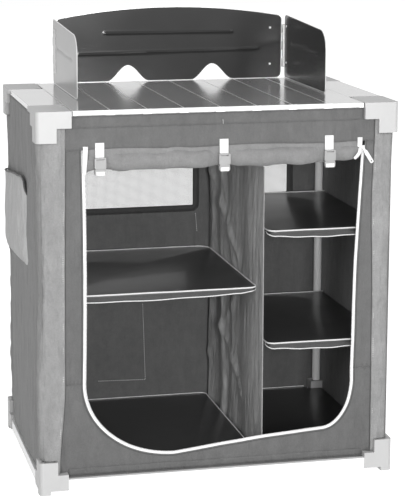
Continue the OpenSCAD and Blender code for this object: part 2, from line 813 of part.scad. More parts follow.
module roll_straps() {
  front = strap_y - strap_t / 2;
  back = -cloth_y + touch + strap_t / 2;
  far = roll_y + roll_pinch + 1.4;
  low = roll_z - roll_half(strap_x[0]) - 1.2;
  color(webbing) for (x = strap_x)
    band(x, strap_w, [[front, door_top + 9], [front, low + 8], [front + 5, low], [far - 5, low],
      [far, low + 8], [far, roll_z + 14], [back, door_top + 1], [back, door_top + 9]], strap_t);
}

// Prong room inside a buckle, as half width, half depth and depth up the socket
prong_x = 9.2;
prong_y = 2.1;
prong_h = 15;

module buckle_sockets() {
  t = 8;
  color(mid_cloth) for (x = strap_x) translate([x, buckle_y - t / 2, buckle_z]) difference() {
    translate([0, t / 2, 0]) rotate([90, 0, 0]) linear_extrude(t)
      round_rect(-buckle_w / 2, 0, buckle_w / 2, 24, 3);
    box([-prong_x, -prong_y, -eps], [prong_x, prong_y, prong_h + 0.5]);
    for (s = [-1, 1]) box([s * buckle_w / 2 - 1.6, -prong_y, 5], [s * buckle_w / 2 + 1.6, prong_y, 13]);
    box([-buckle_w / 2 + 4, -t, 19.5], [buckle_w / 2 - 4, t, 21.5]);
  }
}

module buckle_plug(i) {
  play = 0.3;
  color(mid_cloth) translate([strap_x[i], buckle_y - 4, buckle_z]) {
    difference() {
      translate([0, 4, 0]) rotate([90, 0, 0]) linear_extrude(8)
        round_rect(-buckle_w / 2 + 1, -13, buckle_w / 2 - 1, -play, 2.5);
      box([-buckle_w / 2 + 4, -6, -10], [buckle_w / 2 - 4, 6, -8]);
    }
    for (s = [-1, 1])
      box([s * 6.9 - 2, -prong_y + play, -play - eps], [s * 6.9 + 2, prong_y - play, prong_h]);
    box([-2, -prong_y + play, -play - eps], [2, prong_y - play, prong_h - 3]);
  }
}

top_corner(0);  // top_corner_front_left
top_corner(1);  // top_corner_front_right
top_corner(2);  // top_corner_rear_left
top_corner(3);  // top_corner_rear_right
bottom_corner(0);  // bottom_corner_front_left
bottom_corner(1);  // bottom_corner_front_right
bottom_corner(2);  // bottom_corner_rear_left
bottom_corner(3);  // bottom_corner_rear_right
leg(0);  // leg_front_left
leg(1);  // leg_front_right
leg(2);  // leg_rear_left
leg(3);  // leg_rear_right
top_rail(0);  // top_rail_front
top_rail(1);  // top_rail_rear
top_rail(2);  // top_rail_left
top_rail(3);  // top_rail_right
bottom_rail(0);  // bottom_rail_front
bottom_rail(1);  // bottom_rail_rear
bottom_rail(2);  // bottom_rail_left
bottom_rail(3);  // bottom_rail_right
deck_slat(1);  // deck_slat_1
deck_slat(2);  // deck_slat_2
deck_slat(3);  // deck_slat_3
deck_slat(4);  // deck_slat_4
deck_slat(5);  // deck_slat_5
deck_slat(6);  // deck_slat_6
deck_slat(7);  // deck_slat_7
deck_slat(8);  // deck_slat_8
deck_end_slats();
slat_clips();
windshield_back();
windshield_left_wing();
windshield_right_wing();
hinge_back_leaves();
hinge_left_leaf();
hinge_right_leaf();
hinge_pins();
cover_front();
cover_left();
cover_right();
cover_rear();
cover_floor();
cover_band();
corner_strips();
divider_wall();
window_nets();
side_pocket();
shelf_left();
shelf_right_upper();
shelf_right_lower();
floor_boards();
rolled_door();
door_zip();
zip_slider();
zip_pull();
roll_straps();
buckle_sockets();
buckle_plug(0);  // buckle_plug_left
buckle_plug(1);  // buckle_plug_middle
buckle_plug(2);  // buckle_plug_right
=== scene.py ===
from math import asin, cos, exp, pi, radians, sin

import bmesh
import bpy
from mathutils import Matrix, Vector, noise


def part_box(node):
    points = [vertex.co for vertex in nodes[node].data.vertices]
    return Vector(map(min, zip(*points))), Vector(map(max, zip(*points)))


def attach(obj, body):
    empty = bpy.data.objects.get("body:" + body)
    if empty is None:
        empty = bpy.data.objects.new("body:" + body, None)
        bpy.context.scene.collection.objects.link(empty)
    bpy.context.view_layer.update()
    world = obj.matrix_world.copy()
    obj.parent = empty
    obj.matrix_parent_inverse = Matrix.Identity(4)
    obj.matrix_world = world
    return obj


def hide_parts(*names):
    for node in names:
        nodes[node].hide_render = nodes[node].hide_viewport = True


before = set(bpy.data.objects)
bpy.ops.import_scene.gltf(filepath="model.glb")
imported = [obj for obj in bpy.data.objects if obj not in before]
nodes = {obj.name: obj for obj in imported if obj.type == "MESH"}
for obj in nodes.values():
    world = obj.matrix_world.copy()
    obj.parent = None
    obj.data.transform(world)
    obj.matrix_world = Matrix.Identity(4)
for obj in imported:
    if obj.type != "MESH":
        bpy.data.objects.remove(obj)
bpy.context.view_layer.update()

scene = bpy.context.scene

# View and light. The camera stands to the left of the box, a little above the
# worktop, and looks through a long lens. The studio is a white room with large
# soft lamps in front of the box.
eye = Vector((-0.9369, -3.8866, 1.3226))
yaw, pitch = radians(-12.65), radians(-9.6)
ahead = Vector((-sin(yaw) * cos(pitch), cos(yaw) * cos(pitch), sin(pitch)))
across = Vector((cos(yaw), sin(yaw), 0))
upward = across.cross(ahead)
photo_w, photo_h = 407, 500
focal_px = 1772.75
centre_px = (165, 175)

camera = bpy.data.objects.new("camera", bpy.data.cameras.new("camera"))
scene.collection.objects.link(camera)
camera.matrix_world = Matrix.Translation(eye) @ Matrix((across, upward, -ahead)).transposed().to_4x4()
camera.data.sensor_width = 36
camera.data.lens = focal_px * camera.data.sensor_width / photo_h
camera.data.shift_x = (photo_w / 2 - centre_px[0]) / photo_h
camera.data.shift_y = (centre_px[1] - photo_h / 2) / photo_h
camera.data.clip_end = 60
scene.camera = camera
scene.view_settings.view_transform = "Standard"


def lamp(name, place, target, size, watts):
    """A square soft lamp that faces a point."""
    light = bpy.data.lights.new(name, "AREA")
    light.size = size
    light.energy = watts
    obj = bpy.data.objects.new(name, light)
    scene.collection.objects.link(obj)
    obj.location = place
    obj.rotation_euler = (Vector(target) - Vector(place)).to_track_quat("-Z", "Y").to_euler()
    obj.visible_camera = False


lamp("key_lamp", place=(-2.6, -4.2, 2.3), target=(0, 0, 0.5), size=2.4, watts=62)
lamp("fill_lamp", place=(2.8, -4.0, 1.6), target=(0, 0, 0.5), size=2.4, watts=36)
lamp("top_lamp", place=(0.2, -0.6, 3.6), target=(0, 0, 0.8), size=2.0, watts=16)
lamp("front_lamp", place=(-0.3, -4.4, 1.2), target=(0, 0, 0.4), size=0.7, watts=118)


def seen_directly(tree):
    """1 for rays from the camera, in mirrors and through glass, else 0."""
    path = tree.nodes.new("ShaderNodeLightPath")
    total = None
    for ray in ("Is Camera Ray", "Is Glossy Ray", "Is Transmission Ray"):
        if total is None:
            total = path.outputs[ray]
            continue
        add = tree.nodes.new("ShaderNodeMath")
        add.operation = "MAXIMUM"
        tree.links.new(total, add.inputs[0])
        tree.links.new(path.outputs[ray], add.inputs[1])
        total = add.outputs[0]
    return total


world = bpy.data.worlds.new("white_room")
scene.world = world
world.use_nodes = True
tree = world.node_tree
room = tree.nodes["Background"]
span = tree.nodes.new("ShaderNodeMapRange")
span.inputs["To Min"].default_value = 0.42
span.inputs["To Max"].default_value = 1.0
tree.links.new(seen_directly(tree), span.inputs["Value"])
tree.links.new(span.outputs[0], room.inputs["Strength"])
room.inputs["Color"].default_value = (1, 1, 1, 1)

bm = bmesh.new()
bmesh.ops.create_grid(bm, x_segments=1, y_segments=1, size=14)
floor_mesh = bpy.data.meshes.new("ground")
bm.to_mesh(floor_mesh)
bm.free()
ground = bpy.data.objects.new("ground", floor_mesh)
scene.collection.objects.link(ground)
paper = bpy.data.materials.new("white_paper")
paper.use_nodes = True
tree = paper.node_tree
tree.nodes.clear()
matt = tree.nodes.new("ShaderNodeBsdfDiffuse")
matt.inputs["Color"].default_value = (0.85, 0.85, 0.85, 1)
glow = tree.nodes.new("ShaderNodeEmission")
both = tree.nodes.new("ShaderNodeAddShader")
out = tree.nodes.new("ShaderNodeOutputMaterial")
lift = tree.nodes.new("ShaderNodeMath")
lift.operation = "MULTIPLY"
lift.inputs[1].default_value = 0.80
tree.links.new(seen_directly(tree), lift.inputs[0])
tree.links.new(lift.outputs[0], glow.inputs["Strength"])
tree.links.new(matt.outputs[0], both.inputs[0])
tree.links.new(glow.outputs[0], both.inputs[1])
tree.links.new(both.outputs[0], out.inputs["Surface"])
floor_mesh.materials.append(paper)

# Moulded corners. Each is one piece of light grey nylon with sockets for the
# tubes, a flat plate flush with the worktop and, on the lower ones, a square
# foot. The tubes push in and are held by friction.


def node_group(name, inputs, outputs):
    """An empty shader group with named sockets: (name, type, value) each."""
    group = bpy.data.node_groups.new(name, "ShaderNodeTree")
    for label, kind, value in inputs:
        socket = group.interface.new_socket(label, in_out="INPUT", socket_type=kind)
        if value is not None:
            socket.default_value = value
    for label, kind in outputs:
        group.interface.new_socket(label, in_out="OUTPUT", socket_type=kind)
    return group, group.nodes.new("NodeGroupInput"), group.nodes.new("NodeGroupOutput")


def calc(tree, operation, a, b=None, c=None):
    """A Math node on sockets or numbers."""
    node = tree.nodes.new("ShaderNodeMath")
    node.operation = operation
    for place, value in enumerate((a, b, c)):
        if value is None:
            continue
        if hasattr(value, "is_linked"):
            tree.links.new(value, node.inputs[place])
        else:
            node.inputs[place].default_value = value
    return node.outputs[0]


# Blotches: slow changes of tone, as dust, handling and uneven dye leave them.
blotch_group, group_in, group_out = node_group(
    "blotches",
    [
        ("Vector", "NodeSocketVector", None),
        ("Size", "NodeSocketFloat", 0.1),
        ("Contrast", "NodeSocketFloat", 0.1),
    ],
    [("Tone", "NodeSocketFloat"), ("Height", "NodeSocketFloat")],
)
spots = blotch_group.nodes.new("ShaderNodeTexNoise")
spots.inputs["Detail"].default_value = 4
blotch_group.links.new(group_in.outputs["Vector"], spots.inputs["Vector"])
blotch_group.links.new(calc(blotch_group, "DIVIDE", 1.0, group_in.outputs["Size"]), spots.inputs["Scale"])
swing = calc(blotch_group, "SUBTRACT", spots.outputs["Fac"], 0.5)
tone = calc(blotch_group, "MULTIPLY_ADD", swing, group_in.outputs["Contrast"], 1.0)
blotch_group.links.new(tone, group_out.inputs["Tone"])
blotch_group.links.new(spots.outputs["Fac"], group_out.inputs["Height"])

# Weave: threads over and under in two directions, along the walls and up them.
weave_group, group_in, group_out = node_group(
    "weave",
    [
        ("Vector", "NodeSocketVector", None),
        ("Pitch", "NodeSocketFloat", 0.0009),
        ("Contrast", "NodeSocketFloat", 0.2),
    ],
    [("Tone", "NodeSocketFloat"), ("Height", "NodeSocketFloat")],
)
split = weave_group.nodes.new("ShaderNodeSeparateXYZ")
weave_group.links.new(group_in.outputs["Vector"], split.inputs[0])
along = calc(weave_group, "ADD", split.outputs["X"], split.outputs["Y"])
turns = calc(weave_group, "DIVIDE", 2 * pi, group_in.outputs["Pitch"])
warp = calc(weave_group, "SINE", calc(weave_group, "MULTIPLY", along, turns))
weft = calc(weave_group, "SINE", calc(weave_group, "MULTIPLY", split.outputs["Z"], turns))
cross = calc(weave_group, "MULTIPLY", warp, weft)
slub = weave_group.nodes.new("ShaderNodeTexNoise")
slub.inputs["Scale"].default_value = 260
weave_group.links.new(group_in.outputs["Vector"], slub.inputs["Vector"])
height = calc(weave_group, "MULTIPLY_ADD", cross, 0.5, slub.outputs["Fac"])
half_contrast = calc(weave_group, "MULTIPLY", group_in.outputs["Contrast"], 0.5)
tone = calc(weave_group, "MULTIPLY_ADD", cross, half_contrast, 1.0)
weave_group.links.new(tone, group_out.inputs["Tone"])
weave_group.links.new(height, group_out.inputs["Height"])


def new_material(name):
    """A material with its tree, its main shader and its object coordinates."""
    material = bpy.data.materials.new(name)
    material.use_nodes = True
    tree = material.node_tree
    place = tree.nodes.new("ShaderNodeTexCoord").outputs["Object"]
    return material, tree, tree.nodes["Principled BSDF"], place


def use_group(tree, group, place, **values):
    """A group placed in a material, on these coordinates, with its own values."""
    node = tree.nodes.new("ShaderNodeGroup")
    node.node_tree = group
    tree.links.new(place, node.inputs["Vector"])
    for label, value in values.items():
        node.inputs[label].default_value = value
    return node


def tinted(tree, shader, colour, *tones):
    """The base colour, made lighter and darker by each tone in turn."""
    value = tones[0]
    for tone in tones[1:]:
        value = calc(tree, "MULTIPLY", value, tone)
    mix = tree.nodes.new("ShaderNodeMix")
    mix.data_type = "RGBA"
    mix.blend_type = "MULTIPLY"
    mix.inputs["Factor"].default_value = 1
    mix.inputs["A"].default_value = colour
    tree.links.new(value, mix.inputs["B"])
    tree.links.new(mix.outputs["Result"], shader.inputs["Base Color"])


def bumped(tree, shader, height, strength, distance):
    """Small relief from a height."""
    bump = tree.nodes.new("ShaderNodeBump")
    bump.inputs["Strength"].default_value = strength
    bump.inputs["Distance"].default_value = distance
    tree.links.new(height, bump.inputs["Height"])
    tree.links.new(bump.outputs[0], shader.inputs["Normal"])


def grey(level):
    """A plain grey that shows as this level of 255."""
    value = ((level / 255 + 0.055) / 1.055) ** 2.4
    return (value, value, value, 1)


def moulded(name, colour, roughness, grain):
    """Moulded plastic with a fine grain and faint flow marks."""
    material, tree, shader, place = new_material(name)
    marks = use_group(tree, blotch_group, place, Size=0.05, Contrast=0.10)
    fine = use_group(tree, blotch_group, place, Size=0.0012, Contrast=0.05)
    tinted(tree, shader, colour, marks.outputs["Tone"], fine.outputs["Tone"])
    bumped(tree, shader, fine.outputs["Height"], strength=grain, distance=0.0003)
    shader.inputs["Roughness"].default_value = roughness
    return material


corner_plastic = moulded("corner_plastic", grey(180), roughness=0.42, grain=0.25)


def piece(name, bm, material, body, slot, *replaced):
    """A finished mesh as an object on its body, standing for CAD nodes if named."""
    mesh = bpy.data.meshes.new(name)
    bm.to_mesh(mesh)
    bm.free()
    for each in material if isinstance(material, tuple) else (material,):
        mesh.materials.append(each)
    mesh.shade_smooth()
    mesh.set_sharp_from_angle(angle=radians(38))
    obj = bpy.data.objects.new(name, mesh)
    scene.collection.objects.link(obj)
    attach(obj, body)
    if replaced:
        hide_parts(*replaced)
    return obj


def softened(node, radius, material, body, slot, shortest=0.004, segments=2):
    """The same shape as a CAD node with its sharp edges rounded, in its place."""
    bm = bmesh.new()
    bm.from_mesh(nodes[node].data)
    bmesh.ops.remove_doubles(bm, verts=bm.verts, dist=0.00002)
    bmesh.ops.dissolve_limit(bm, angle_limit=radians(1.5), verts=bm.verts, edges=bm.edges)
    sharp = [
        e
        for e in bm.edges
        if len(e.link_faces) == 2 and e.calc_face_angle(0) > radians(40) and e.calc_length() > shortest
    ]
    bmesh.ops.bevel(
        bm,
        geom=sharp,
        offset=radius,
        segments=segments,
        profile=0.5,
        affect="EDGES",
        material=-1,
        clamp_overlap=True,
    )
    bmesh.ops.triangulate(bm, faces=bm.faces)
    obj = piece(node + "_shell", bm, material, body, slot, node)
    even = obj.modifiers.new("even_shading", "WEIGHTED_NORMAL")
    even.keep_sharp = True
    return obj


CORNERS = ("front_left", "front_right", "rear_left", "rear_right")
for corner in CORNERS:
    softened("top_corner_" + corner, 0.0016, corner_plastic, "frame", "corner_plastic")
    softened("bottom_corner_" + corner, 0.0016, corner_plastic, "frame", "corner_plastic")

# Tube frame. Four round legs and eight box rails of thin steel tube, powder
# coated white, with a slight orange-peel texture.
white_coat, tree, shader, place = new_material("white_coat")
peel = use_group(tree, blotch_group, place, Size=0.004, Contrast=0.03)
haze = use_group(tree, blotch_group, place, Size=0.09, Contrast=0.08)
tinted(tree, shader, grey(236), peel.outputs["Tone"], haze.outputs["Tone"])
bumped(tree, shader, peel.outputs["Height"], strength=0.15, distance=0.0004)
shader.inputs["Roughness"].default_value = 0.3
shader.inputs["Coat Weight"].default_value = 0.2


def coat(node, material):
    """Gives a CAD node its material."""
    mesh_slots = nodes[node].material_slots
    for mesh_slot in mesh_slots:
        mesh_slot.link = "OBJECT"
        mesh_slot.material = material
    if not mesh_slots:
        nodes[node].data.materials.append(material)


for corner in CORNERS:
    coat("leg_" + corner, white_coat)
for edge in ("front", "rear", "left", "right"):
    coat("top_rail_" + edge, white_coat)
    softened("bottom_rail_" + edge, 0.0022, white_coat, "frame", "white_tube", shortest=0.01, segments=3)

# Worktop. Eight full slats and two short end slats of folded aluminium sheet,
# polished, joined by soft plastic clips at their ends so that the top rolls up.
slat_metal, tree, shader, place = new_material("slat_metal")
stretch = tree.nodes.new("ShaderNodeMapping")
stretch.inputs["Scale"].default_value = (1, 0.02, 1)
tree.links.new(place, stretch.inputs["Vector"])
lines = use_group(tree, blotch_group, stretch.outputs[0], Size=0.0015, Contrast=0.10)
smear = use_group(tree, blotch_group, place, Size=0.12, Contrast=0.14)
tinted(tree, shader, grey(190), lines.outputs["Tone"], smear.outputs["Tone"])
rub = calc(tree, "MULTIPLY_ADD", smear.outputs["Height"], 0.12, 0.10)
tree.links.new(rub, shader.inputs["Roughness"])
bumped(tree, shader, lines.outputs["Height"], strength=0.08, distance=0.0002)
shader.inputs["Metallic"].default_value = 0.62


def slat(node):
    """A slat, or the pair of end slats, with its folded edges rounded."""
    softened(node, 0.0012, slat_metal, "worktop", "slat_aluminium", shortest=0.005, segments=3)


SLATS = [f"deck_slat_{number}" for number in range(1, 9)]
for node in SLATS:
    slat(node)
slat("deck_end_slats")
clip_white = moulded("clip_white", grey(240), roughness=0.4, grain=0.15)
softened("slat_clips", 0.0010, clip_white, "worktop", "corner_plastic")

# The slats' long edges are rolled over; the bright line between two slats is a painted
# highlight, a light strip along each edge. Their short ends are closed by white folds at front and back.
rolled_w, rolled_h, fold_t = 0.0011, 0.0016, 0.0008
edge_highlight_paint = moulded("edge_highlight_paint", grey(226), roughness=0.3, grain=0.05)
edges_bm, folds_bm = bmesh.new(), bmesh.new()
for node in SLATS:
    low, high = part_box(node)
    for x in (low[0], high[0]):
        shape = Matrix.Diagonal((rolled_w, high[1] - low[1] - 0.004, rolled_h, 1))
        middle = Matrix.Translation((x, (low[1] + high[1]) / 2, high[2] - 0.0007))
        bmesh.ops.create_cube(edges_bm, size=1, matrix=middle @ shape)
    for y in (low[1], high[1]):
        shape = Matrix.Diagonal((high[0] - low[0] - 0.016, fold_t, high[2] - low[2] - 0.0022, 1))
        middle = Matrix.Translation(((low[0] + high[0]) / 2, y, (low[2] + high[2]) / 2))
        bmesh.ops.create_cube(folds_bm, size=1, matrix=middle @ shape)
bmesh.ops.bevel(folds_bm, geom=folds_bm.edges[:], offset=0.0003, segments=1, affect="EDGES", material=-1)
piece("slat_edge_highlight_strips", edges_bm, edge_highlight_paint, "worktop", "slat_aluminium")
piece("slat_end_folds", folds_bm, clip_white, "worktop", "slat_aluminium")

# Wind guard. Three plates of thin steel sheet, dark and glossy inside and bare
# silver outside, with pressed ribs, a folded hem along each edge and two bell
# notches for hoses. They turn on two riveted butt hinges.


def sheet_metal(name, colour, metal, roughness, haze_size):
    """Rolled sheet with faint lengthwise lines and handling haze."""
    material, tree, shader, place = new_material(name)
    stretch = tree.nodes.new("ShaderNodeMapping")
    stretch.inputs["Scale"].default_value = (0.05, 0.05, 1)
    tree.links.new(place, stretch.inputs["Vector"])
    lines = use_group(tree, blotch_group, stretch.outputs[0], Size=0.002, Contrast=0.08)
    haze = use_group(tree, blotch_group, place, Size=haze_size, Contrast=0.22)
    tinted(tree, shader, colour, lines.outputs["Tone"], haze.outputs["Tone"])
    rub = calc(tree, "MULTIPLY_ADD", haze.outputs["Height"], 0.14, roughness)
    tree.links.new(rub, shader.inputs["Roughness"])
    bumped(tree, shader, lines.outputs["Height"], strength=0.06, distance=0.0002)
    shader.inputs["Metallic"].default_value = metal
    return material


guard_inside = sheet_metal("guard_inside", grey(37), metal=0.35, roughness=0.16, haze_size=0.16)
guard_outside = sheet_metal("guard_outside", grey(140), metal=0.8, roughness=0.24, haze_size=0.16)
# The hem's light colour is a painted highlight along the sheet's folded edge.
hem_painted_highlight = sheet_metal("hem_painted_highlight", grey(214), metal=0.7, roughness=0.28, haze_size=0.05)
hinge_metal = sheet_metal("hinge_metal", grey(176), metal=0.6, roughness=0.24, haze_size=0.02)

back_low, back_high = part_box("windshield_back")
pin_low, pin_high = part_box("hinge_pins")
guard_x = (pin_low[0] + pin_high[0]) / 2
pin_half = (pin_high[0] - pin_low[0]) / 2 - 0.0015
pin_y = (pin_low[1] + pin_high[1]) / 2
deck_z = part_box("deck_slat_1")[1][2]
guard_z = deck_z + 0.0003
sheet_t = 0.0008
rib_out = 0.0020


def outline_face(bm, points):
    """A flat face from points in order."""
    return bm.faces.new([bm.verts.new(p) for p in points])


def fine_grid(bm, step, axes, low, high):
    """Cuts a flat outline into small squares, so that it can be pressed."""
    for axis in axes:
        count = int((high[axis] - low[axis]) / step)
        for k in range(1, count):
            spot = Vector((0, 0, 0))
            spot[axis] = low[axis] + (high[axis] - low[axis]) * k / count
            normal = Vector((0, 0, 0))
            normal[axis] = 1
            geometry = bm.verts[:] + bm.edges[:] + bm.faces[:]
            bmesh.ops.bisect_plane(bm, geom=geometry, dist=0.00001, plane_co=spot, plane_no=normal)


def near_line(p, a, b):
    """Distance of a point from a stretch between two points, in a plane."""
    run = b - a
    t = max(0, min(1, (p - a).dot(run) / run.length_squared))
    return (p - a - run * t).length


def pressed(bm, ribs, flat, push):
    """Presses rounded ribs into a sheet: flat(v) gives the place in the sheet."""
    for v in bm.verts:
        spot = flat(v.co)
        for a, b, half in ribs:
            d = near_line(spot, Vector(a), Vector(b))
            if d < half:
                v.co += push * (0.5 + 0.5 * cos(pi * d / half))


def thick_sheet(bm, inside):
    """Gives a sheet its thickness; material 0 faces along inside, 1 the other way."""
    bmesh.ops.recalc_face_normals(bm, faces=bm.faces)
    mean = sum((f.normal for f in bm.faces), Vector())
    if mean.dot(inside) < 0:
        bmesh.ops.reverse_faces(bm, faces=bm.faces)
    bmesh.ops.solidify(bm, geom=bm.faces[:], thickness=sheet_t)
    for f in bm.faces:
        f.material_index = 0 if f.normal.dot(inside) > 0.2 else 1


def tube(bm, points, radius, sides=8, closed=False):
    """Adds a round tube along points to a bmesh."""
    rings = []
    last = len(points) - 1
    up = Vector((0, 0, 1))
    for k, p in enumerate(points):
        if closed:
            heading = points[(k + 1) % len(points)] - points[k - 1]
        else:
            heading = points[min(k + 1, last)] - points[max(k - 1, 0)]
        heading.normalize()
        one = heading.cross(up)
        if one.length < 0.1:
            one = heading.cross(Vector((0, 1, 0)))
        one.normalize()
        two = one.cross(heading)
        turn = Matrix((one, two, heading)).transposed().to_4x4()
        ring = bmesh.ops.create_circle(bm, segments=sides, radius=radius, matrix=Matrix.Translation(p) @ turn)
        edges = {e for v in ring["verts"] for e in v.link_edges}
        rings.append(list(edges))
    pairs = list(zip(rings, rings[1:]))
    if closed:
        pairs.append((rings[-1], rings[0]))
    for a, b in pairs:
        bmesh.ops.bridge_loops(bm, edges=a + b)
    if not closed:
        for ring in (rings[0], rings[-1]):
            bmesh.ops.edgeloop_fill(bm, edges=ring)
    bmesh.ops.recalc_face_normals(bm, faces=bm.faces)


def arc_points(cx, cy, rx, ry, a0, a1, count):
    """Points of an elliptical arc."""
    angles = (radians(a0 + (a1 - a0) * k / count) for k in range(count + 1))
    return [(cx + rx * cos(a), cy + ry * sin(a)) for a in angles]


guard_h = back_high[2] - guard_z
guard_rise = 0.026
plate_half = pin_half - 0.0045
notch_half, notch_h, notch_at = 0.052, 0.038, 0.1035
arch_r = (pin_half**2 + guard_rise**2) / (2 * guard_rise)


def back_outline():
    """Outline of the back panel in x and z: arched top, bell notches below."""
    r = 0.014
    top = guard_h - arch_r
    end = asin((plate_half - r) / arch_r)
    side_top = top + arch_r * cos(end)
    points = arc_points(plate_half - r, r, r, r, -90, 0, 5)
    points += arc_points(plate_half - r, side_top - r * 0.9, r, r * 0.9, 0, 84, 5)
    tilts = [end * (1 - k / 24) for k in range(1, 48)]
    points += [(arch_r * sin(a), top + arch_r * cos(a)) for a in tilts]
    points += arc_points(r - plate_half, side_top - r * 0.9, r, r * 0.9, 96, 180, 5)
    points += arc_points(r - plate_half, r, r, r, 180, 270, 5)
    for middle in (-notch_at, notch_at):
        for k in range(25):
            x = notch_half * (k / 12 - 1)
            points.append((middle + x, notch_h * (0.5 + 0.5 * cos(pi * x / notch_half))))
    return points


back_y = back_low[1]
edge_points = [Vector((guard_x + x, back_y, guard_z + z)) for x, z in back_outline()]
bm = bmesh.new()
outline_face(bm, edge_points)
fine_grid(bm, 0.0030, (0, 2), Vector(back_low), Vector(back_high))
ribs = [
    ((guard_x - 0.160, guard_z + 0.116), (guard_x + 0.152, guard_z + 0.114), 0.0036),
    ((guard_x - 0.222, guard_z + 0.066), (guard_x + 0.220, guard_z + 0.072), 0.0036),
]
pressed(bm, ribs, lambda co: co.xz, Vector((0, -rib_out, 0)))
thick_sheet(bm, Vector((0, -1, 0)))
piece("guard_back_panel", bm, (guard_inside, guard_outside), "wind_guard", "guard_sheet", "windshield_back")

# The hem is the sheet's own edge, folded over flat; its bright line is a painted
# highlight, a lighter colour than either face of the sheet. The two bent tabs are spot
# welded behind the panel and drop behind the worktop's back edge.
bm = bmesh.new()
hem_r = 0.0011
tube(bm, [p + Vector((0, sheet_t / 2, 0)) for p in edge_points], hem_r, sides=6, closed=True)
piece("guard_back_hem", bm, hem_painted_highlight, "wind_guard", "guard_sheet")
bm = bmesh.new()
tab_half, tab_back, tab_drop = 0.010, back_high[1] - 0.0004, guard_z - 0.020
for side in (-1, 1):
    middle = guard_x + side * 2 * pin_half * 0.4
    path = [(back_y + 0.002, guard_z + 0.030), (back_y + 0.0022, guard_z + 0.004)]
    path += [(tab_back - 0.002, guard_z + 0.0022), (tab_back, guard_z), (tab_back, tab_drop)]
    rows = [[bm.verts.new((middle + x, y, z)) for x in (-tab_half, tab_half)] for y, z in path]
    for (a, b), (c, d) in zip(rows, rows[1:]):
        bm.faces.new((a, b, d, c))
bm.normal_update()
bmesh.ops.solidify(bm, geom=bm.faces[:], thickness=sheet_t)
bmesh.ops.recalc_face_normals(bm, faces=bm.faces)
piece("guard_tabs", bm, hinge_metal, "wind_guard", "guard_sheet")


def wing(side, body, node):
    """One side wing: a plate with a rounded front corner and a pressed rib."""
    low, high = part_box(node)
    x = (low[0] + high[0]) / 2
    front, rear, base, top = low[1], high[1], low[2], high[2]
    slope_top = base + 0.1405
    r = 0.044
    points = arc_points(rear - 0.010, base + 0.010, 0.010, 0.010, -90, 0, 5)
    points += arc_points(rear - 0.012, top - 0.012, 0.012, 0.012, 0, 87, 5)
    points += arc_points(front + r, slope_top - r, r, r, 93, 180, 12)
    points += arc_points(front + 0.012, base + 0.012, 0.012, 0.012, 180, 270, 5)
    rim = [Vector((x, y, z)) for y, z in points]
    bm = bmesh.new()
    outline_face(bm, rim)
    fine_grid(bm, 0.0034, (1, 2), Vector(low), Vector(high))
    rib = [((front + 0.060, base + 0.082), (rear - 0.060, base + 0.088), 0.0045)]
    inward = Vector((-side, 0, 0))
    pressed(bm, rib, lambda co: co.yz, inward * rib_out)
    thick_sheet(bm, inward)
    behind_leaf = sheet_t / 2 + 0.0001
    bmesh.ops.translate(bm, verts=bm.verts, vec=inward * behind_leaf)
    piece(node + "_plate", bm, (guard_inside, guard_outside), body, "guard_sheet", node)
    # The hem round the wing, in the lighter colour that paints its highlight.
    bm = bmesh.new()
    off_deck = base + 0.0016
    tube(bm, [Vector((p.x, p.y, max(p.z, off_deck))) for p in rim], hem_r, sides=6, closed=True)
    piece(node + "_hem", bm, hem_painted_highlight, body, "guard_sheet")


wing(-1, "left_wing", "windshield_left_wing")
wing(1, "right_wing", "windshield_right_wing")
softened("hinge_back_leaves", 0.0002, hinge_metal, "wind_guard", "hinge_steel", shortest=0.003)
softened("hinge_left_leaf", 0.0002, hinge_metal, "left_wing", "hinge_steel", shortest=0.003)
softened("hinge_right_leaf", 0.0002, hinge_metal, "right_wing", "hinge_steel", shortest=0.003)
coat("hinge_pins", hinge_metal)

# Rivet heads on the inner faces, opposite the ones on the hinge leaves.
rivet_white = moulded("rivet_white", grey(235), roughness=0.35, grain=0.05)
leaf_low, leaf_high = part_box("hinge_back_leaves")
rivet_heights = (leaf_low[2] + 0.008, leaf_high[2] - 0.008)
rivet_r, rivet_h = 0.0027, 0.0011
rivet_from_pin, wing_rivet_from_pin, wing_rivet_up = 0.033, 0.018, 0.004


def rivet(bm, place, facing):
    """A small domed head at a place, on a face that looks along facing."""
    turn = Vector(facing).to_track_quat("Z", "Y").to_matrix().to_4x4()
    shape = Matrix.Diagonal((rivet_r, rivet_r, rivet_h, 1))
    spot = Matrix.Translation(place) @ turn @ shape
    bmesh.ops.create_uvsphere(bm, u_segments=16, v_segments=8, radius=1, matrix=spot)


bm = bmesh.new()
for side in (-1, 1):
    for z in rivet_heights:
        rivet(bm, (guard_x + side * (pin_half - rivet_from_pin), back_low[1], z), (0, -1, 0))
piece("guard_rivets", bm, rivet_white, "wind_guard", "hinge_steel")
for side, body in ((-1, "left_wing"), (1, "right_wing")):
    low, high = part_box("windshield_" + body)
    inner = high[0] if side < 0 else low[0]
    bm = bmesh.new()
    for z in rivet_heights:
        rivet(bm, (inner, pin_y - wing_rivet_from_pin, z + wing_rivet_up), (-side, 0, 0))
    piece(body + "_rivets", bm, rivet_white, body, "hinge_steel")

# Cabinet cloth. Coated woven polyester, cut flat and sewn: a mid-grey front,
# sides and back, a dark band round the top, and light strips over the corners.
# It hangs from the top rails and is pulled tight by the lower ones.


